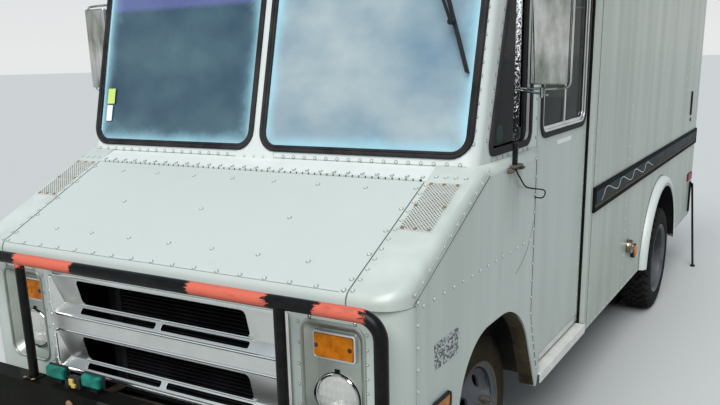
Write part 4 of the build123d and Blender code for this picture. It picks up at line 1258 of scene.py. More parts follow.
def makeWiper(pivot, clip, top, tip):
    lift = wiper["lift"]
    middle = [(a + b) / 2 for a, b in zip(pivot, clip)]
    route = [onGlass(*pivot, 0.018), onGlass(*pivot, lift + 0.006), onGlass(*middle, lift + 0.01),
             onGlass(*clip, lift + 0.012)]
    parts = [turned("wiperPivot", onGlass(*pivot), (0, -1, 0.26), wiper["cap"], 20),
             makeTube("wiperArm", route, wiper["arm"], 2),
             startDisc("wiperClip", onGlass(*clip, lift - 0.008), onGlass(*clip, lift + 0.018), 0.012, 16)]
    start, end = Vector(onGlass(*top, lift - 0.018)), Vector(onGlass(*tip, lift - 0.018))
    out = Vector(glassOut).normalized()
    across = (end - start).normalized().cross(out) * wiper["half"]
    for name, width, low, high in wiper["blade"]:
        corners = [start - across * width, end - across * width, end + across * width, start + across * width]
        blade = startPanel(name, corners, 0.003, 2)
        blade.data.transform(Matrix.Translation(out * low))
        parts.append(thicken(blade, high - low))
    return joinAll("wipers", parts)


# Blank stickers inside the glass: name, finish, place and corner
shieldStickers = (
    ("Green", "stickerLime", (-0.957, -0.908, 1.838, 1.91)),
    ("White", "plainWhite", (-0.955, -0.918, 1.755, 1.83)))
quarterStickers = (
    ("Round", "stickerTeal", (-2.15, -2.078, 1.678, 1.75), 0.035),
    ("Blank", "plainWhite", (-1.884, -1.816, 1.671, 1.722), 0.004))


def makeStickers():
    for name, material, place in shieldStickers:
        sticker = makePlate("windshieldSticker" + name, glassCorners(*place, 0.0015), 0.004, 0.0004)
        finishPiece(sticker, material, "window_glass")
    for name, material, place, radius in quarterStickers:
        sticker = makePlate("quarterSticker" + name, sideCorners(*place, cabHalf - 0.014), radius, 0.0004)
        finishPiece(sticker, material, "window_glass")


# Quarter windows: the opening's four corners as (y, z), and the bar of the sliding pane
quarterWindow = dict(
    corners=((-2.29, 1.636), (-1.768, 1.636), (-1.768, 2.364), (-2.064, 2.364)), corner=0.07, band=0.03,
    bar=(-1.862, -1.853, 1.67, 2.33))


def makeQuarterSeals():
    points = [(cabHalf, y, z) for y, z in quarterWindow["corners"]]
    outer = makeBand("quarterSeal", points, quarterWindow["corner"], quarterWindow["band"], 0.009, 0.004)
    y0, y1, z0, z1 = quarterWindow["bar"]
    bar = startBlock("quarterBar", (cabHalf - 0.012, y0, z0), (cabHalf - 0.001, y1, z1))
    finishPair("quarterSeals", [outer, bar], "sealRubber", "rail_rubber")


makeWindshieldTrim()
finishSet("wipers", [makeWiper(*wiper["driver"]), makeWiper(*wiper["kerb"])], "trimPlastic", "rail_rubber")
makeStickers()
makeQuarterSeals()
print("windshield trim ready")

# Fender vents: a perforated sheet with rusty screws over each opening
vent = dict(
    x=(0.903, 1.033), y=(-2.776, -2.512), pitch=0.01, land=0.002, corner=0.0019, sheet=0.0014, lift=0.0012,
    screws=((0.918, -2.767), (0.968, -2.767), (1.02, -2.767), (0.911, -2.645), (1.024, -2.645),
        (0.914, -2.521), (0.966, -2.521), (1.02, -2.521)), tray=(0.9, 1.036, -2.79, -2.5, -0.115, -0.108))


def makeVentCell():
    # One square of the sheet with its round hole
    deselectAll()
    bpy.ops.mesh.primitive_plane_add(size=vent["pitch"])
    cell = bpy.context.object
    cell.name = "ventSheet"
    editAll(cell)
    bpy.ops.mesh.inset(thickness=vent["land"])
    bpy.ops.mesh.bevel(offset=vent["corner"], segments=1, affect="VERTICES")
    bpy.ops.mesh.select_all(action="DESELECT")
    mesh = bmesh.from_edit_mesh(cell.data)
    hole = min(mesh.faces, key=lambda face: face.calc_center_median().length - 0.001 * len(face.verts))
    hole.select_set(True)
    bmesh.update_edit_mesh(cell.data)
    bpy.ops.mesh.delete(type="ONLY_FACE")
    editDone()
    return cell


def makeVents():
    pitch = vent["pitch"]
    (x0, x1), (y0, y1) = vent["x"], vent["y"]
    wide, deep = x1 - x0, (y1 - y0) * sqrt(1 + topSlope * topSlope)
    cells = int((wide + deep) / pitch / sqrt(2)) + 2
    sheet = makeVentCell()
    for axis in ((pitch, 0, 0), (0, pitch, 0)):
        repeat(sheet, cells, axis, use_merge_vertices=True, merge_threshold=0.0001)
    middle = pitch * (cells - 1) / 2
    sheet.data.transform(Matrix.Rotation(pi / 4, 4, "Z") @ Matrix.Translation((-middle, -middle, 0)))
    for direction, reach in ((outwards, wide / 2), ((-1, 0, 0), wide / 2), (behind, deep / 2),
                             (ahead, deep / 2)):
        cutPlane(sheet, Vector(direction) * reach, direction, clear_outer=True)
    corners = [(x * wide / 2, y * deep / 2, 0) for x, y in ((-1, -1), (1, -1), (1, 1), (-1, 1))]
    rim = makeBand("ventRim", corners, 0.002, 0.005, 0.0006)
    rim.data.transform(Matrix.Translation((0, 0, -0.0008)))
    sheet = joinAll("ventSheets", [thicken(sheet, vent["sheet"], -1.0), rim])
    up = Vector(noseUp).normalized()
    along = Vector((0, 1, topSlope)).normalized()
    turn = Matrix((Vector(outwards), along, up)).transposed().to_4x4()
    spot = Vector(onNose((x0 + x1) / 2, (y0 + y1) / 2)) + up * vent["lift"]
    sheet.data.transform(Matrix.Translation(spot) @ turn)
    finishPair("ventSheets", [sheet], "ventPaint", "body_paint", angle=20)
    finishSet("ventScrews", [oneRivet(onNose(side * x, y, 0.0018), noseUp, 0.75)
                             for side in sides.values() for x, y in vent["screws"]], "rustMetal")
    x0, x1, y0, y1, low, high = vent["tray"]
    finishPair("ventTrays", [startBlock("ventTray", onNose(x0, y0, low), (x1, y1, onNose(0, y0, high)[2]))],
               "finBlack")


# Mirrors: a polished shell on a post, with a loop bracket, a foot strap and rusty bolts
mirror = dict(
    x=(1.148, 1.294), y=-2.138, z=(1.908, 2.312), deep=0.03, crown=0.011, folds=16, split=0.64,
    post=(1.09, -2.105), postZ=(1.592, 2.38), postRadius=0.0112, tube=0.0058, armX=1.038)
mirrorFoot = dict(
    y=(-2.19, -1.992), boltZ=1.572,
    bolts=(("footBolt", 1.076, 1.106, 0.0055, 8), ("footWasher", 1.08, 1.0875, 0.0105, 16),
        ("footNut", 1.0875, 1.098, 0.01, 6)))


def makeMirrorShells():
    (x0, x1), (z0, z1), y = mirror["x"], mirror["z"], mirror["y"]
    shell = roundedBlock("mirrorShell", (x0, y, z0), (x1, y + 0.016, z1), 0.0075)
    for step in range(1, mirror["folds"]):
        cutPlane(shell, (x0 + (x1 - x0) * step / mirror["folds"], 0, 0), outwards)
    # The front is crowned, highest at the split
    for vert in shell.data.vertices:
        if vert.co.y < y + 0.006:
            along = (vert.co.x - x0) / (x1 - x0)
            rest = along / mirror["split"] if along < mirror["split"] else (1 - along) / (1 - mirror["split"])
            vert.co.y -= mirror["crown"] * sin(pi * min(1.0, max(0.0, rest)) * 0.86) ** 0.7
    back = roundedBlock("mirrorBack", (x0 + 0.004, y + 0.008, z0 + 0.004),
                        (x1 - 0.004, y + mirror["deep"], z1 - 0.004), 0.006)
    finishPair("mirrorShells", [shell, back], "polishedSteel", "mirror_steel", stands=["mirrors"], angle=30)
    glass = frontCorners(x1 - 0.008, x0 + 0.008, z0 + 0.009, z1 - 0.009, y + mirror["deep"])
    finishPair("mirrorGlasses", [makePlate("mirrorGlass", glass, 0.024, 0.002)], "mirrorGlass",
               "mirror_steel")


def makeMirrorBrackets():
    (z0, z1), (x, y) = mirror["z"], mirror["post"]
    low, high, reach = z0 - 0.015, z1 + 0.015, mirror["x"][1] + 0.006
    # The lower half of the loop; the upper half is the same, turned over
    half = ((x, 0, 0), (1.15, -0.008, -0.002), (reach - 0.04, -0.008, 0), (reach, -0.006, 0.004),
            (reach, -0.004, 0.06))
    route = [(px, y + dy, low + dz) for px, dy, dz in half]
    route += [(px, y + dy, high - dz) for px, dy, dz in reversed(half)]
    strut = ((x, y - 0.012, low - 0.004), (1.15, y - 0.02, low - 0.012), (1.222, y - 0.024, low - 0.024))
    bolt = startDisc("mirrorBolt", (1.196, y - 0.022, low - 0.034), (1.196, y - 0.022, low + 0.004), 0.0065,
                     8)
    finishPair("mirrorBrackets", [makeTube("mirrorLoop", route, mirror["tube"]),
                                  makeTube("mirrorStrut", strut, 0.0045, 2), bolt],
               "polishedSteel", "mirror_steel")
    bottom, top = mirror["postZ"]
    post = makeTube("mirrorPost", ((x, y, bottom - 0.006), (x, y, top)), mirror["postRadius"], 5)
    arm = roundedBlock("mirrorArm", (mirror["armX"], y - 0.01, top - 0.026),
                       (x + 0.006, y + 0.01, top - 0.004), 0.003)
    finishPair("mirrorPosts", [post, arm], "peeledPost", "bumper_black")


def makeMirrorFeet():
    y0, y1 = mirrorFoot["y"]
    z = mirrorFoot["boltZ"]
    strap = roundedBlock("mirrorFoot", (1.078, y0 + 0.055, 1.58), (1.104, y1 - 0.05, 1.591), 0.003)
    lip = roundedBlock("mirrorFootLip", (1.0795, y0 + 0.03, 1.562), (1.084, y1 - 0.03, 1.584), 0.002)
    finishPair("mirrorFeet", [strap, lip], "rustDust", "bumper_black")
    bolts = [startDisc(name, (start, y, z), (end, y, z), radius, rim) for y in (y0 + 0.034, y1 - 0.034)
             for name, start, end, radius, rim in mirrorFoot["bolts"]]
    finishPair("mirrorFootBolts", bolts, "rustDust")


makeVents()
makeMirrorShells()
makeMirrorBrackets()
makeMirrorFeet()
print("vents and mirrors ready")

# Cab doors: rubber and aluminium window frames, a sliding pane's bar, kick strip and rear edge strip
door = dict(
    window=(-1.619, -0.886, 1.664, 2.34), corner=0.062, barY=-1.245,
    kick=((-1.52, 0.533), (-0.85, 0.533), (-0.85, 0.566), (-1.54, 0.566)),
    strip=(-0.878, -0.85, 0.57, 2.445), label=(-1.366, -1.122, 1.592, 1.614))


def windowCorners(grow, x):
    y0, y1, z0, z1 = door["window"]
    return sideCorners(y0 - grow, y1 + grow, z0 - grow, z1 + grow, x)


def makeDoorTrim(name):
    x, corner = cabHalf, door["corner"]
    rubber = makeBand("doorSeal", windowCorners(0.021, x), corner + 0.021, 0.028, 0.008, 0.0035)
    frames = [makeBand("doorFrame", windowCorners(-0.006, x), corner - 0.006, 0.011, 0.006, 0.002),
              makeBand("doorWindowInner", windowCorners(-0.016, x - 0.01), corner - 0.014, 0.016, 0.007,
                       0.002),
              roundedBlock("doorBar", (x - 0.012, door["barY"] - 0.007, 1.672),
                           (x - 0.001, door["barY"] + 0.007, 2.328), 0.002),
              roundedBlock("doorRail", (x - 0.012, -1.6, 1.676), (x - 0.002, -0.91, 1.69), 0.002),
              makePlate("kickStrip", [(x, y, z) for y, z in door["kick"]], 0.002, 0.003, 0.001),
              rivetRow((x + 0.003, -1.42, 0.5495), (x + 0.003, -0.93, 0.5495), 0.163, outwards, 0.9)]
    strips = [makePlate("doorStrip", sideCorners(*door["strip"], x), 0.002, 0.003, 0.001),
              rivetRow((x + 0.003, -0.864, 0.6), (x + 0.003, -0.864, 2.42), 0.089, outwards, 0.8)]
    for label, parts, material, slot in (("doorSeal", [rubber], "sealRubber", "rail_rubber"),
                                         ("doorFrame", frames, "brightAluminium", "grille_aluminium"),
                                         ("doorStrip", strips, "bodyPaint", "body_paint")):
        piece = joinAll(label + name.title(), parts)
        if name == "right":
            piece = movedOver(piece)
        finishPiece(piece, material, slot, "cab_door_" + name, name=label + name.title())


# Door opening: black edge seal, which also stands for the painted shade in the door gap, pale sill and its
# lip
doorway = dict(seal=(-0.838, -0.816), sill=(-1.655, -0.836), z=(0.51, 2.42))


def makeDoorway():
    (low, high), (seal0, seal1), (y0, y1) = doorway["z"], doorway["seal"], doorway["sill"]
    # The black seal fills the gap at the door's rear edge: rubber, and painted shade in the gap
    seal = roundedBlock("doorwaySeal", (1.0415, seal0, low), (1.053, seal1, high), 0.003)
    finishPair("doorwaySeals", [seal], "blackRubber", "rail_rubber")
    post = startBlock("doorwayPost", (1.05, seal1 - 0.004, low), (1.079, seal1 + 0.002, high))
    finishPair("doorwayPosts", [post], "bodyPaint", "body_paint")
    sill = [roundedBlock("sillTop", (1.012, y0, low - 0.004), (1.0915, y1, low + 0.004), 0.003),
            roundedBlock("sillLip", (1.088, y0, low - 0.046), (1.0925, y1, low + 0.004), 0.0015),
            rivetRow((1.0925, -1.6, low - 0.02), (1.0925, -0.88, low - 0.02), 0.12, outwards, 0.8)]
    finishPair("doorSills", sill, "sillMetal", "floor_metal")


for name in sides:
    makeDoorTrim(name)
makeDoorway()
print("doors ready")

# Rub rails: black lips, a dark glossy inset with a wavy silver line, two brass lines below
rail = dict(
    y=(-0.775, 3.023), z=(1.148, 1.291), lip=0.022, thick=0.013, wave=(-0.6, 1.14, 0.385),
    waveShape=((0.0, 1.208), (0.1, 1.222), (0.16, 1.254), (0.3, 1.262), (0.45, 1.254), (0.62, 1.234),
        (0.85, 1.213)))


def makeRubRails():
    (y0, y1), (z0, z1), x, lip = rail["y"], rail["z"], halfWidth, rail["lip"]
    outer = x + rail["thick"]
    parts = [roundedBlock("railBase", (x, y0, z0), (x + 0.006, y1, z1), 0.002)]
    parts += [roundedBlock("railLip", (x, y0, z), (outer, y1, z + lip), 0.004) for z in (z0, z1 - lip)]
    parts += [roundedBlock("railEnd", (x, y, z0), (outer, y + lip, z1), 0.004) for y in (y0, y1 - lip)]
    finishPair("rubRails", parts, "blackRubber", "rail_rubber", stands=["rub_rails"])
    inset = roundedBlock("railInset", (x + 0.0005, y0 + 0.045, z0 + 0.041),
                         (x + 0.0125, y1 - 0.02, z1 - 0.024), 0.0058)
    finishPair("railInsets", [inset], "darkGloss", "rail_rubber")
    lines = [roundedBlock("railLine", (x + 0.005, y0 + 0.02, z), (x + 0.0085, y1 - 0.02, z + 0.003), 0.001)
             for z in (z0 + 0.024, z0 + 0.033)]
    finishPair("railLines", lines, "railGold", "rail_rubber")
    start, end, pitch = rail["wave"]
    points = [(x + 0.0125, start - 0.016, 1.196)]
    for turn in range(int((end - start) / pitch)):
        points += [(x + 0.0125, start + (turn + along) * pitch, z - turn * 0.002)
                   for along, z in rail["waveShape"]]
    finishPair("railWaves", [makeTube("railWave", points, 0.0024, 1)], "brightAluminium", "rail_rubber")


# Front bumper: feet of the push bar, bolts and the blank plate in its holder
bumper = dict(
    front=-3.225, top=0.726, footY=(-3.214, -3.142), feet=((0.669, 0.034), (1.054, 0.03)),
    bolts=((0.4, 0.67), (0.4, 0.56), (0.95, 0.67), (0.95, 0.56)), plate=(-0.222, 0.083, 0.572, 0.727))


def makeBumperTrim():
    top = bumper["top"]
    (y0, y1), footX = bumper["footY"], bumper["feet"][0][0]
    feet = [roundedBlock("barFoot", (x - reach, y0, top), (x + reach, y1, top + 0.006), 0.002)
            for x, reach in bumper["feet"]]
    finishPair("barFeet", feet, "blackPaint", "bumper_black")
    bolts = [oneRivet((x, bumper["front"], z), ahead, 2.2) for x, z in bumper["bolts"]]
    bolts += [oneRivet((footX + dx, y0 + 0.008, top + 0.006), upwards, 0.9) for dx in (-0.026, 0.026)]
    finishPair("bumperBolts", bolts, "rustMetal")
    x0, x1, z0, z1 = bumper["plate"]
    y = bumper["front"] - 0.001
    holder = makeBand("plateHolder", frontCorners(x0, x1, z0, z1, y), 0.01, 0.014, 0.007, 0.002)
    finishPiece(holder, "trimPlastic", "bumper_black")
    blank = frontCorners(x0 + 0.006, x1 - 0.006, z0 + 0.006, z1 - 0.006, y)
    finishPiece(makePlate("numberPlateBlank", blank, 0.008, 0.002, 0.0005), "plainWhite")


# Teal marker lamps on the bumper with a small brass connector between them
teal = dict(centres=(-0.5205, -0.3025), half=0.054, z=(0.7495, 0.803), y=(-3.192, -3.153))


def makeTealLamps():
    lenses, top, half = [], bumper["top"], teal["half"]
    shells = [roundedBlock("connectorBlock", (-0.445, -3.185, top), (-0.372, -3.152, 0.775), 0.004)]
    (z0, z1), (y0, y1) = teal["z"], teal["y"]
    for x in teal["centres"]:
        lenses.append(roundedBlock("tealLens", (x - half, y0, z0), (x + half, y1 - 0.008, z1), 0.012, 4))
        shells += [roundedBlock("tealShell", (x - half - 0.003, y1 - 0.014, z0 - 0.004),
                                (x + half + 0.003, y1, z1 + 0.003), 0.005),
                   roundedBlock("tealStand", (x - 0.022, y1 - 0.022, top),
                                (x + 0.022, y1 - 0.004, z0 + 0.004), 0.002)]
    finishSet("tealLenses", lenses, "tealLens", "lamp_amber")
    finishSet("tealShells", shells, "trimPlastic", "bumper_black")
    connectors = [roundedBlock("connector", (-0.428, -3.194, 0.742), (-0.404, -3.184, 0.77), 0.002),
                  roundedBlock("connector", (-0.414, -3.196, 0.734), (-0.392, -3.184, 0.75), 0.002)]
    finishSet("connectors", connectors, "brassYellow")


makeRubRails()
makeBumperTrim()
makeTealLamps()
print("rails and bumper ready")

# Signal lamps: framed side markers, round markers behind the doors, red rear markers, tail lamps and
# clearance lamps; shell and glass are steps of along and wider than the round marker's radius
marker = dict(
    front=(-2.876, -2.72, 0.787, 0.851), frame=0.011, round=(0.4, 0.672, 0.05),
    shell=((0, 0), (0.012, 0), (0.02, 0.002), (0.023, 0), (0.023, -0.005), (0.015, -0.007)),
    glass=((0.015, -0.007), (0.024, -0.007), (0.03, -0.014), (0.033, -0.03)),
    rear=(rearY - 0.3, rearY - 0.07, 0.812, 0.884), tail=(0.78, 0.98, 0.59, 0.69),
    roof=((0.875, 0.026), (0.0, 0.064)), roofZ=(2.655, 2.688))


def makeMarkers():
    x, edge = halfWidth, marker["frame"]
    y0, y1, z0, z1 = marker["front"]
    frames = [makeBand("markerFrame", sideCorners(y0, y1, z0, z1, x), 0.016, edge, 0.013, 0.003)]
    edge -= 0.001
    lens = sideCorners(y0 + edge, y1 - edge, z0 + edge, z1 - edge, x)
    ambers = [makePlate("markerLens", lens, 0.007, 0.01, 0.003)]
    y, z, radius = marker["round"]
    for group, outline in ((frames, marker["shell"]), (ambers, marker["glass"])):
        steps = [(along, radius + wider) for along, wider in outline]
        group.append(turned("roundMarker", (x, y, z), outwards, steps, 36))
    y0, y1, z0, z1 = marker["rear"]
    frames.append(makePlate("rearMarkerBase", sideCorners(y0, y1, z0, z1, x), 0.006, 0.004, 0.001))
    lens = sideCorners(y0 + 0.004, y1 - 0.004, z0 + 0.004, z1 - 0.004, x + 0.004)
    reds = [makePlate("rearMarkerLens", lens, 0.005, 0.009, 0.003)]
    clears = []
    x0, x1, z0, z1 = marker["tail"]
    wide = x1 - x0
    frames.append(makePlate("tailBase", rearCorners(x0, x1, z0, z1, rearY), 0.012, 0.016, 0.004))
    for low, high, group in ((0.0, 0.45, reds), (0.45, 0.72, ambers), (0.72, 1.0, clears)):
        cell = rearCorners(x0 + wide * low + 0.005, x0 + wide * high - 0.001, z0 + 0.007, z1 - 0.007,
                           rearY + 0.015)
        group.append(makePlate("tailLens", cell, 0.006, 0.012, 0.004))
    z0, z1 = marker["roofZ"]
    for middle, reach in marker["roof"]:
        x0, x1 = middle - reach, middle + reach
        ambers.append(makePlate("roofLens", glassCorners(x0, x1, z0, z1, -0.001), 0.008, 0.018, 0.005))
        base = glassCorners(x0 - 0.005, x1 + 0.005, z0 - 0.005, z1 + 0.005, -0.001)
        frames.append(makePlate("roofLensBase", base, 0.01, 0.005, 0.001))
        reds.append(makePlate("rearClearance", rearCorners(x0, x1, z0, z1, rearY), 0.006, 0.014, 0.004))
    finishPair("markerFrames", frames, "trimPlastic", "bumper_black")
    finishPair("amberLenses", ambers, "amberLens", "lamp_amber", stands=["signal_lamps"])
    finishPair("redLenses", reds, "redLens", "lamp_amber")
    finishPair("clearLenses", clears, "plainWhite", "lamp_glass")


# Side hardware: filler cap with its vent, body latch, small bare plates
hardware = dict(
    filler=(0.245, 0.735), fillerVent=(0.317, 0.747), latch=(2.6, 1.44, 1.65),
    badge=(-2.848, -2.642, 0.966, 1.065),
    neck=((0, 0.052), (0.004, 0.052), (0.006, 0.042), (0.016, 0.04), (0.019, 0.046), (0.03, 0.046),
        (0.034, 0.041), (0.034, 0.02), (0.04, 0.018), (0.042, 0.012)),
    ventShape=((0, 0.02), (0.012, 0.02), (0.016, 0.016), (0.016, 0.006)))


def makeHardware():
    x = halfWidth
    filler = [turned("fillerNeck", (x, *hardware["filler"]), outwards, hardware["neck"], 36),
              turned("fillerVent", (x, *hardware["fillerVent"]), outwards, hardware["ventShape"], 20)]
    finishSet("fillerCap", filler, "capBronze", "exhaust_steel")
    label = makePlate("doorLabel", sideCorners(*door["label"], cabHalf + 0.0005), 0.001, 0.001)
    finishPiece(label, "plainWhite", body="cab_door_left")
    y, z0, z1 = hardware["latch"]
    grip = sideCorners(y - 0.016, y + 0.016, z0 + 0.05, z1 - 0.03, x + 0.004)
    latch = [makePlate("latchPlate", sideCorners(y - 0.04, y + 0.04, z0, z1, x), 0.014, 0.006, 0.0015),
             makePlate("latchPaddle", grip, 0.008, 0.005, 0.002),
             startDisc("latchKey", (x - 0.002, y + 0.012, z0 - 0.04), (x + 0.006, y + 0.012, z0 - 0.04),
                       0.017, 18)]
    finishPair("sideLatches", latch, "finBlack", "cab_trim")
    badge = makePlate("sideBadge", sideCorners(*hardware["badge"], x + 0.0004), 0.004, 0.0012, 0.0004)
    finishPair("sideBadges", [badge], "foilPattern")


# Wheels: centres of the driver's side, then outlines as steps of along the axle and radius
wheel = dict(
    front=(0.815, -2.065, 0.405), rear=(1.0, rearAxleY, 0.405), inner=(0.746, rearAxleY, 0.405), lugs=36,
    nuts=10, boltCircle=0.111, holes=8, holeCircle=0.196, hole=0.0265,
    nut=(("nutSeat", -0.002, 0.003, 0.0175, 16), ("nutBody", 0.002, 0.021, 0.0155, 6),
        ("nutStud", 0.018, 0.031, 0.0085, 10)))
wheelShape = dict(
    wall=((-0.09, 0.262), (-0.101, 0.266), (-0.1085, 0.282), (-0.112, 0.305), (-0.1135, 0.318),
        (-0.112, 0.331), (-0.1118, 0.35), (-0.1085, 0.366), (-0.104, 0.372), (-0.1, 0.388),
        (-0.09, 0.4005)),
    ribs=((-0.08, 0.4045), (-0.058, 0.405), (-0.0565, 0.395), (-0.05, 0.395), (-0.0485, 0.405),
        (-0.021, 0.405), (-0.0195, 0.395), (-0.013, 0.395), (-0.0115, 0.405)),
    blocks=((-0.066, 0.4045), (-0.042, 0.405), (-0.014, 0.405)),
    rim=((0.104, 0.273), (0.108, 0.268), (0.106, 0.262), (0.097, 0.258), (0.09, 0.247), (0.05, 0.243)),
    rimInside=((-0.1, 0.268), (-0.09, 0.258), (-0.085, 0.252), (-0.05, 0.249)),
    frontDisc=((0.05, 0.2435), (0.072, 0.2435), (0.084, 0.236), (0.118, 0.17), (0.128, 0.152),
        (0.133, 0.144), (0.133, 0.075), (0.123, 0.075), (0.123, 0.14), (0.112, 0.156), (0.076, 0.226),
        (0.066, 0.236), (0.05, 0.2365)),
    frontHub=((0.118, 0.09), (0.136, 0.09), (0.148, 0.08), (0.17, 0.066), (0.178, 0.058), (0.184, 0.056),
        (0.19, 0.05), (0.192, 0.038)),
    frontDrum=((-0.06, 0.19), (0.03, 0.19), (0.034, 0.184), (0.034, 0.078), (0.02, 0.075), (-0.06, 0.075)),
    rearDisc=((-0.012, 0.2435), (-0.034, 0.2435), (-0.044, 0.236), (-0.104, 0.162), (-0.111, 0.148),
        (-0.111, 0.075), (-0.121, 0.075), (-0.121, 0.154), (-0.112, 0.17), (-0.052, 0.242), (-0.04, 0.249),
        (-0.012, 0.249)),
    rearHub=((-0.112, 0.098), (-0.106, 0.096), (-0.1, 0.084), (-0.02, 0.079), (-0.012, 0.074),
        (-0.006, 0.07), (0.0, 0.06), (0.0, 0.03)),
    rearDrum=((-0.086, 0.19), (0.1, 0.19), (0.104, 0.184), (0.104, 0.078), (0.09, 0.07), (-0.086, 0.07)),
    bead=((-0.005, 0.2755), (0.0, 0.2765), (0.0035, 0.272), (0.0025, 0.266), (0.0, 0.264), (-0.004, 0.2655)))


def turnedOver(outline):
    # The same outline on the other side of the wheel's middle
    return [(-along, radius) for along, radius in outline]


def makeTyre(centre, tread):
    # The tread is a row of bands; a rib's groove is a band whose radius is smaller
    half = [*wheelShape["wall"], *wheelShape[tread]]
    rim = wheel["lugs"] * 3
    tyre = turned("tyre", centre, outwards, half + turnedOver(reversed(half)), rim, hollow=True)

    def isGroove(place, normal):
        # Every third lug of a column, shifted from column to column, sinks between the blocks
        x, y, z = place - Vector(centre)
        if hypot(y, z) < 0.379 or abs(x) > 0.1035:
            return False
        column = round(x / 0.026 + 3)
        index = int((atan2(z, y) / (2 * pi) % 1) * rim)
        return (index + (0, 1, 2, 1, 0, 1, 2, 1)[column]) % 3 == 0

    if tread == "blocks":
        editPick(tyre, isGroove)
        bpy.ops.mesh.extrude_region_shrink_fatten(TRANSFORM_OT_shrink_fatten={"value": -0.014})
        editDone()
    return tyre


def aroundAxle(piece, centre, count, phase=0.0):
    copies = []
    for index in range(count):
        turn = Matrix.Rotation(2 * pi * index / count + phase, 4, "X")
        copies.append(copyAt(piece, Matrix.Translation(centre) @ turn @ Matrix.Translation(-Vector(centre))))
    bpy.data.objects.remove(piece)
    return copies


def makeRim(centre):
    rim, inside = wheelShape["rim"], wheelShape["rimInside"]
    steps = [*rim, *turnedOver(reversed(rim)), *inside, *turnedOver(reversed(inside))]
    return turned("rim", centre, outwards, steps, 96, hollow=True)


def makeDisc(centre, steps, holeFrom, holeTo):
    disc = turned("disc", centre, outwards, steps, 96, hollow=True)
    x, y, z = centre
    y += wheel["holeCircle"]
    hole = startDisc("handHole", (x + holeFrom, y, z), (x + holeTo, y, z), wheel["hole"], 24)
    cutOut(disc, aroundAxle(hole, centre, wheel["holes"]))
    return disc


def makeNuts(centre, along):
    x, y, z = centre
    x, y = x + along, y + wheel["boltCircle"]
    parts = [startDisc(name, (x + start, y, z), (x + end, y, z), radius, rim)
             for name, start, end, radius, rim in wheel["nut"]]
    return aroundAxle(joinAll("wheelNut", parts), centre, wheel["nuts"], 0.2)


def finishWheels(prefix, groups):
    for label, parts, material in groups:
        piece = joinAll(prefix + label, parts)
        for name, item in (("left", piece), ("right", mirrored(piece))):
            body = prefix + name
            finishPiece(item, material, "tyre_rubber", body, [body] if label == "Tyre" else (),
                        name=body + label)


def makeFrontWheels():
    centre = wheel["front"]
    painted = [makeRim(centre), makeDisc(centre, wheelShape["frontDisc"], 0.03, 0.16),
               turned("drum", centre, outwards, wheelShape["frontDrum"], hollow=True)]
    hubs = [turned("hub", centre, outwards, wheelShape["frontHub"])] + makeNuts(centre, 0.133)
    # The dusty, rust-coloured ring where the tyre meets the rim
    x, y, z = centre
    bead = turned("bead", (x + 0.107, y, z), outwards, wheelShape["bead"], 96, hollow=True)
    finishWheels("wheel_front_", (("Tyre", [makeTyre(centre, "ribs")], "dustyTyre"),
                                  ("Rim", painted, "wheelPaint"), ("Hub", hubs, "hubMetal"),
                                  ("Bead", [bead], "rustDust")))


def makeRearWheels():
    # Each rear wheel is a twin, its outer disc dished inwards and its inner disc outwards
    outer, inner = wheel["rear"], wheel["inner"]
    x, y, z = outer
    dish = wheelShape["rearDisc"]
    painted = [makeRim(outer), makeRim(inner), makeDisc(outer, dish, -0.14, -0.02),
               makeDisc(inner, turnedOver(dish), 0.02, 0.14),
               turned("drum", inner, outwards, wheelShape["rearDrum"], hollow=True)]
    bolt = startDisc("axleBolt", (x - 0.004, y + 0.052, z), (x + 0.008, y + 0.052, z), 0.0085, 6)
    hubs = [turned("hub", outer, outwards, wheelShape["rearHub"])] + makeNuts(outer, -0.111)
    tyres = [makeTyre(outer, "blocks"), makeTyre(inner, "blocks")]
    finishWheels("wheel_rear_", (("Tyre", tyres, "tyreRubber"), ("Rim", painted, "wheelPaint"),
                                 ("Hub", hubs + aroundAxle(bolt, outer, 8), "hubMetal")))


makeMarkers()
makeHardware()
print("lamps and side hardware ready")
makeFrontWheels()
makeRearWheels()
print("wheels ready")

# Rear wall: two leaves with rubber framed panes, strap hinges, a lock rod and a lever
rearDoor = dict(
    low=0.765, high=2.44, window=(0.13, 0.57, 1.56, 2.16), corner=0.055, hinges=(0.95, 1.6, 2.25),
    hingeX=0.703, hingeY=3.037, barrel=0.0105, rodX=0.06, guides=(0.825, 1.2, 1.62, 2.38), lever=1.28,
    grip=((0.002, 0), (0.036, 0.0), (0.042, 0.02), (0.042, 0.24), (0.036, 0.26), (0.002, 0.26)))


def rearPlate(name, corners, radius, thick, bevel, lift=0.0):
    return makePlate(name, rearCorners(*corners, rearY + lift), radius, thick, bevel)


def makeRearHinges():
    straps, leaves = [], []
    x, y, radius = rearDoor["hingeX"], rearDoor["hingeY"], rearDoor["barrel"]
    for z in rearDoor["hinges"]:
        low, high = z - 0.032, z + 0.032
        straps += [rearPlate("hingeStrap", (0.585, 0.69, low, high), 0.008, 0.004, 0.001),
                   startDisc("hingeBarrel", (x, y, z - 0.03), (x, y, z + 0.03), radius, 16)]
        straps += [oneRivet((screwX, rearY + 0.004, z + dz), behind, 1.1) for screwX in (0.61, 0.655)
                   for dz in (-0.018, 0.018)]
        leaves.append(rearPlate("hingeLeaf", (0.718, 0.8, low, high), 0.008, 0.004, 0.001))
        for end in (-1, 1):
            start, ear = z + end * 0.033, z + end * 0.05
            leaves += [startDisc("hingeEnd", (x, y, z + end * 0.0315), (x, y, z + end * 0.052), radius, 16),
                       roundedBlock("hingeEar", (x, rearY, start), (0.735, y, ear), 0.002)]
    finishPair("rearHingeLeaves", leaves, "brightAluminium", "grille_aluminium")
    return straps


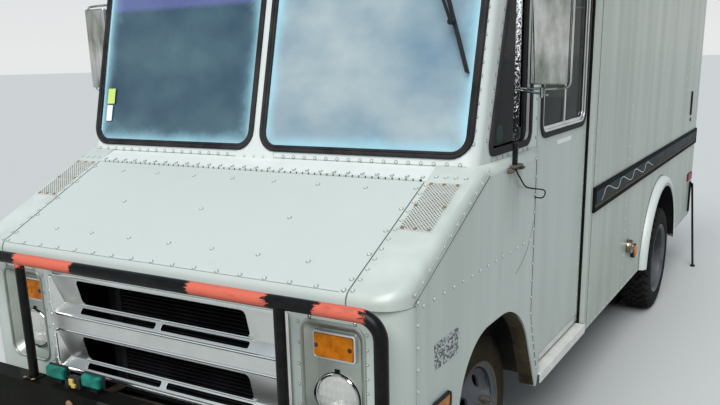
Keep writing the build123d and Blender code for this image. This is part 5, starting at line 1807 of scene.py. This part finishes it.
def makeLockRod():
    x, level = rearDoor["rodX"], rearDoor["lever"]
    ends = [(x, rearY + 0.02, z) for z in (rearDoor["low"] + 0.03, rearDoor["high"] - 0.03)]
    lever = ((x, rearY + 0.022, level), (0.09, rearY + 0.036, level), (0.15, rearY + 0.04, level - 0.004),
             (0.215, rearY + 0.04, level - 0.01))
    return [makeTube("lockRod", ends, 0.008), makeTube("leverArm", lever, 0.0085),
            rearPlate("leverPlate", (0.035, 0.1, level - 0.055, level + 0.055), 0.012, 0.005, 0.0015)] + [
        roundedBlock("rodGuide", (x - 0.016, rearY, z - 0.016), (x + 0.016, rearY + 0.028, z + 0.016), 0.004)
        for z in rearDoor["guides"]]


def makeRearDoors():
    x0, x1, z0, z1 = rearDoor["window"]
    low, high = rearDoor["low"], rearDoor["high"]
    seal = rearCorners(x0 - 0.02, x1 + 0.02, z0 - 0.02, z1 + 0.02, rearY)
    pane = (x0 - 0.004, x1 + 0.004, z0 - 0.004, z1 + 0.004)
    grip = [(0.115, rearY + out, 1.05 + rise) for out, rise in rearDoor["grip"]]
    rows = [rivetRow((x, rearY, low + 0.05), (x, rearY, high - 0.05), 0.0895, behind, 0.85)
            for x in (0.025, 0.675)]
    rows += [rivetRow((0.06, rearY, z), (0.64, rearY, z), 0.0895, behind, 0.85)
             for z in (low + 0.025, 1.45, high - 0.025)]
    both = ("left", "right")
    groups = (("Seal", [makeBand("seal", seal, rearDoor["corner"], 0.03, 0.009, 0.003)], "sealRubber",
               "rail_rubber", both),
              ("Pane", [rearPlate("pane", pane, 0.035, 0.005, 0, -0.012)], "windowGlass", "window_glass",
               both),
              ("Hinges", makeRearHinges(), "brightAluminium", "grille_aluminium", both),
              ("Rivets", rows, "rivetPaint", "body_paint", both),
              ("Handle", makeLockRod(), "stainless", "counter_steel", ("left",)),
              ("Grip", [makeTube("grabHandle", grip, 0.008)], "trimPlastic", "cab_trim", ("right",)))
    for label, parts, material, slot, leaves in groups:
        piece = joinAll("rearDoor" + label, parts)
        for side, item in (("left", piece), ("right", mirrored(piece))):
            if side in leaves:
                finishPiece(item, material, slot, "rear_door_" + side, name="rearDoor" + label + side.title())
            else:
                bpy.data.objects.remove(item)
    rain = roundedBlock("rearRainRail", (-0.76, rearY, 2.462), (0.76, rearY + 0.022, 2.474), 0.004)
    finishPiece(rain, "bodyPaint", "body_paint")
    blank = rearPlate("rearPlateBlank", (-0.95, -0.79, 0.72, 0.8), 0.006, 0.003, 0.0008, 0.002)
    finishPiece(blank, "plainWhite")


# Serving hatch, drawn on the driver's side and moved over: framed flap, piano hinge, paddle latches and
# a drip rail above
hatch = dict(y=(0.306, 1.794), z=(1.316, 2.184), knuckle=(2.193, 0.035, 0.0045, 40, 0.03725))


def makeHatch():
    (y0, y1), (z0, z1), x = hatch["y"], hatch["z"], halfWidth
    flap = sideCorners(y0 + 0.004, y1 - 0.004, z0 + 0.004, z1 - 0.002, x)
    frames = [makeBand("hatchFrame", flap, 0.004, 0.034, 0.0028, 0.001)]
    for start, end in (((y0 + 0.021, z0 + 0.05), (y0 + 0.021, z1 - 0.05)),
                       ((y1 - 0.021, z0 + 0.05), (y1 - 0.021, z1 - 0.05)),
                       ((y0 + 0.06, z0 + 0.021), (y1 - 0.06, z0 + 0.021))):
        frames.append(rivetRow((x + 0.0028, *start), (x + 0.0028, *end), 0.085, outwards, 0.7))
    latches = []
    for y in (y0 + 0.22, y1 - 0.22):
        plate = sideCorners(y - 0.045, y + 0.045, z0 + 0.05, z0 + 0.125, x + 0.0005)
        grip = sideCorners(y - 0.03, y + 0.03, z0 + 0.064, z0 + 0.108, x + 0.004)
        latches += [makePlate("paddle", plate, 0.01, 0.004, 0.0015),
                    makePlate("paddleGrip", grip, 0.008, 0.005, 0.002)]
    around = sideCorners(y0 - 0.036, y1 + 0.036, z0 - 0.036, z1 + 0.036, x)
    z, length, radius, count, pitch = hatch["knuckle"]
    knuckle = startDisc("hatchKnuckle", (x + 0.003, y0, z), (x + 0.003, y0 + length, z), radius, 10)
    surround = [makeBand("hatchSurround", around, 0.006, 0.028, 0.003, 0.001),
                roundedBlock("hatchDrip", (x, y0 - 0.05, 2.226), (x + 0.03, y1 + 0.05, 2.238), 0.003),
                repeat(knuckle, count, (0, pitch, 0))]
    for name, parts, material, slot, body in (
            ("hatchFrame", frames, "brightAluminium", "grille_aluminium", "serving_hatch"),
            ("hatchLatches", latches, "stainless", "counter_steel", "serving_hatch"),
            ("hatchSurround", surround, "brightAluminium", "grille_aluminium", "root")):
        finishPiece(movedOver(joinAll(name, parts)), material, slot, body, name=name)


# Roof: gutters along both sides, battens over the seams, a mushroom vent
roofTop = dict(
    gutter=(-1.72, 3.02, 2.606), batten=(0.95, 0.025, 2.7995, 2.8025), vent=(0, 0.7, 2.8),
    ventShape=((-0.005, 0.215), (0.004, 0.215), (0.006, 0.192), (0.052, 0.188), (0.056, 0.236),
        (0.05, 0.244), (0.056, 0.25), (0.074, 0.246), (0.09, 0.215), (0.098, 0.15), (0.1, 0.05)))


def makeRoofDetails():
    y0, y1, z = roofTop["gutter"]
    outer = halfWidth + 0.017
    gutters = [roundedBlock("gutter", (halfWidth, y0, z), (outer, y1, z + 0.006), 0.002),
               roundedBlock("gutterLip", (outer - 0.004, y0, z), (outer, y1, z + 0.018), 0.0015)]
    x, half, low, high = roofTop["batten"]
    battens = [roundedBlock("roofBatten", (-x, y - half, low), (x, y + half, high), 0.0012)
               for y in roofSeams[:-1]]
    finishSet("roofTrim", bothSides(joinAll("gutters", gutters)) + battens, "roofPaint", "roof_paint")
    cap = turned("roofVentCap", roofTop["vent"], upwards, roofTop["ventShape"], 64)
    finishPiece(cap, "grilleMetal", "vent_aluminium", stands=["roof_vent"])


# Wheel arches: dark liners behind the lips, and the rolled bead and seam of the rear flare
arches = dict(
    front=((-2.631, 0.47), (-2.625, 0.9695), (-1.9425, 0.9695), (-1.705, 0.47)),
    bend=((1, 0.29), (2, 0.25)), frontX=(1.006, 1.0745), rear=(halfWidth, rearAxleY, 0.43),
    liner=((-0.18, 0.5685), (0.044, 0.5685), (0.044, 0.5665), (-0.18, 0.5665)), skirt=0.489,
    bead=((0.002, 0.6345), (0.015, 0.6335), (0.028, 0.629), (0.0385, 0.62), (0.0455, 0.607), (0.049, 0.592),
        (0.0485, 0.578), (0.044, 0.5745), (0.044, 0.5765), (0.002, 0.63)),
    seam=((0.0, 0.635), (0.0022, 0.635), (0.0022, 0.6385), (0.0, 0.6385)), beadFoot=0.4595)


def makeFrontLiners():
    x0, x1 = arches["frontX"]
    sheet = startPanel("frontLiner", [(x1, y, z) for y, z in arches["front"]])
    for corner, size in arches["bend"]:
        y, z = arches["front"][corner]
        editPick(sheet, lambda place, normal: hypot(place.y - y, place.z - z) < 0.004, "VERT")
        bpy.ops.mesh.bevel(offset=size, segments=12, affect="VERTICES")
        editDone()
    openUp(sheet)
    editPick(sheet, lambda place, along: place.z < 0.471, "EDGE")
    bpy.ops.mesh.delete(type="EDGE")
    bpy.ops.mesh.select_mode(type="EDGE")
    bpy.ops.mesh.select_all(action="SELECT")
    push((x0 - x1, 0, 0))
    turnNormalsOut()
    editDone()
    finishPair("frontLiners", [thicken(sheet, 0.002, 0.0)], "darkLiner", "chassis_black")


def makeRearArches():
    # The flare beads take the sky-lit paint: a painted highlight along the crest
    for name, key, rim, foot, material, slot in (
            ("rearLiners", "liner", 96, "skirt", "finBlack", "chassis_black"),
            ("flareBeads", "bead", 128, "beadFoot", "framePaint", "body_paint"),
            ("flareSeams", "seam", 128, "beadFoot", "darkLiner", "chassis_black")):
        arc = turned(name, arches["rear"], outwards, arches[key], rim, True)
        cutPlane(arc, (1, 0, arches[foot]), (0, 0, -1), clear_outer=True, use_fill=True)
        finishPair(name, [arc], material, slot)


makeRearDoors()
makeHatch()
makeRoofDetails()
makeFrontLiners()
makeRearArches()
print("rear doors, hatch, roof and liners ready")

# Driver's seat: two vinyl cushions blown up by the cloth solver, welt seams round them, and the pedestal
seat = dict(
    cushion=((0.234, -1.546, 1.094), (0.621, -1.112, 1.196)),
    back=((0.234, -1.114, 1.226), (0.621, -1.036, 1.724)),
    pedestal=((0.32, -1.47, 0.742), (0.56, -1.18, 1.072)), hinges=(0.221, 0.628), edge=0.022, voxel=0.006,
    pressure=4.0, frames=20, cap=0.013, welt=0.0042, sectors=72)


def makePad(name, low, high):
    pad = roundedBlock(name, low, high, seat["edge"])
    applyModifier(pad, "REMESH", mode="VOXEL", voxel_size=seat["voxel"])
    start = [vert.co.copy() for vert in pad.data.vertices]
    pickOnly(pad)
    cloth = pad.modifiers.new("Cloth", "CLOTH")
    cloth.settings.use_pressure = True
    cloth.settings.uniform_pressure_force = seat["pressure"]
    cloth.settings.effector_weights.gravity = 0
    for moment in range(1, seat["frames"] + 1):
        bpy.context.scene.frame_set(moment)
    bpy.ops.object.modifier_apply(modifier=cloth.name)
    for vert, place in zip(pad.data.vertices, start):
        moved = vert.co - place
        if moved.length > seat["cap"]:
            vert.co = place + moved * (seat["cap"] / moved.length)
    return applyModifier(pad, "SUBSURF", levels=1)


def weltOf(pad, axis, level):
    # The seam follows the widest line round a pad at the given level
    first, second = [index for index in range(3) if index != axis]
    near = [vert.co for vert in pad.data.vertices if abs(vert.co[axis] - level) < seat["voxel"]]
    middle1, middle2 = [(min(spot[index] for spot in near) + max(spot[index] for spot in near)) / 2
                        for index in (first, second)]
    furthest = {}
    for spot in near:
        sector = int((atan2(spot[second] - middle2, spot[first] - middle1) / (2 * pi) % 1) * seat["sectors"])
        reach = hypot(spot[first] - middle1, spot[second] - middle2)
        if reach > furthest.get(sector, (0, None))[0]:
            furthest[sector] = (reach, spot.copy())
    loop = [furthest[sector][1] for sector in sorted(furthest)]
    for spot in loop:
        spot[axis] = level
    return makeTube("seatWelt", loop + loop[:1], seat["welt"], 2)


def makeSeat():
    (x0, y0, z0), (x1, y1, z1) = seat["cushion"]
    cushion = makePad("seatCushion", *seat["cushion"])
    back = makePad("seatBack", *seat["back"])
    welts = [weltOf(cushion, 2, z1 - 0.024), weltOf(cushion, 2, z0 + 0.022),
             weltOf(back, 1, seat["back"][0][1] + 0.018)]
    finishSet("seatWelts", welts, "sealRubber", "seat_vinyl")
    for pad, fill in ((cushion, 0.7), (back, 0.6)):
        finishPiece(pad, "seatVinyl", "seat_vinyl")
    low, high = seat["pedestal"]
    stand = [roundedBlock("seatPedestal", low, high, 0.01),
             roundedBlock("seatPan", (x0 + 0.01, y0 + 0.02, high[2] - 0.004),
                          (x1 - 0.01, y1 - 0.01, high[2] + 0.008), 0.003)]
    stand += [roundedBlock("seatHinge", (x, -1.125, 1.085), (x + 0.006, -1.085, 1.3), 0.002)
              for x in seat["hinges"]]
    finishSet("seatStand", stand, "trimPlastic", "seat_vinyl", stands=["driver_seat"])


makeSeat()
print("seat ready")

# Floor, light and sky
stage = dict(
    floor=(0.45, 0.46, 0.45), sky=(0.8, 0.91, 1.0), skyStrength=0.5, horizon=(0.8, 0.81, 0.81),
    overhead=(0.34, 0.43, 0.51), sunFrom=(0.13, -0.62, 0.77), sunStrength=3.75, sunAngle=45)


def makeFloor():
    deselectAll()
    bpy.ops.mesh.primitive_plane_add(size=600, location=(0, 0, -0.001))
    ground = bpy.context.object
    ground.name = "studioFloor"
    tree, shader = newMaterial("paleFloor", Roughness=0.9)
    feed(tree, shader["Base Color"], stage["floor"])
    ground.data.materials.append(bpy.data.materials["paleFloor"])


def makeSky():
    world = bpy.data.worlds.new("studioSky")
    world.use_nodes = True
    bpy.context.scene.world = world
    tree = world.node_tree
    sky = tree.nodes["Background"]
    feed(tree, sky.inputs["Color"], stage["sky"])
    feed(tree, sky.inputs["Strength"], stage["skyStrength"])
    # What the camera, metal and glass see: a pale backdrop that deepens overhead
    towards = addNode(tree, "ShaderNodeTexCoord").outputs["Generated"]
    height = addNode(tree, "ShaderNodeSeparateXYZ", Vector=towards).outputs[2]
    seen = mixColours(tree, spread(tree, height, 0.02, 0.55), stage["horizon"], stage["overhead"])
    backdrop = addNode(tree, "ShaderNodeBackground", Color=seen, Strength=1.0)
    path = addNode(tree, "ShaderNodeLightPath").outputs
    rays = maths(tree, "MAXIMUM", path["Is Camera Ray"],
                 maths(tree, "MAXIMUM", path["Is Glossy Ray"], path["Is Transmission Ray"]))
    both = addNode(tree, "ShaderNodeMixShader")
    for index, source in enumerate((rays, sky.outputs[0], backdrop.outputs[0])):
        feed(tree, both.inputs[index], source)
    feed(tree, tree.nodes["World Output"].inputs["Surface"], both.outputs[0])


def makeSun():
    deselectAll()
    bpy.ops.object.light_add(type="SUN", location=(2, -5, 12))
    sun = bpy.context.object
    sun.data.energy = stage["sunStrength"]
    sun.data.angle = radians(stage["sunAngle"])
    sun.rotation_euler = Vector(stage["sunFrom"]).to_track_quat("Z", "Y").to_euler()


makeFloor()
makeSky()
makeSun()
bpy.context.scene.view_settings.view_transform = "Standard"
bpy.data.objects.remove(rivetHead)
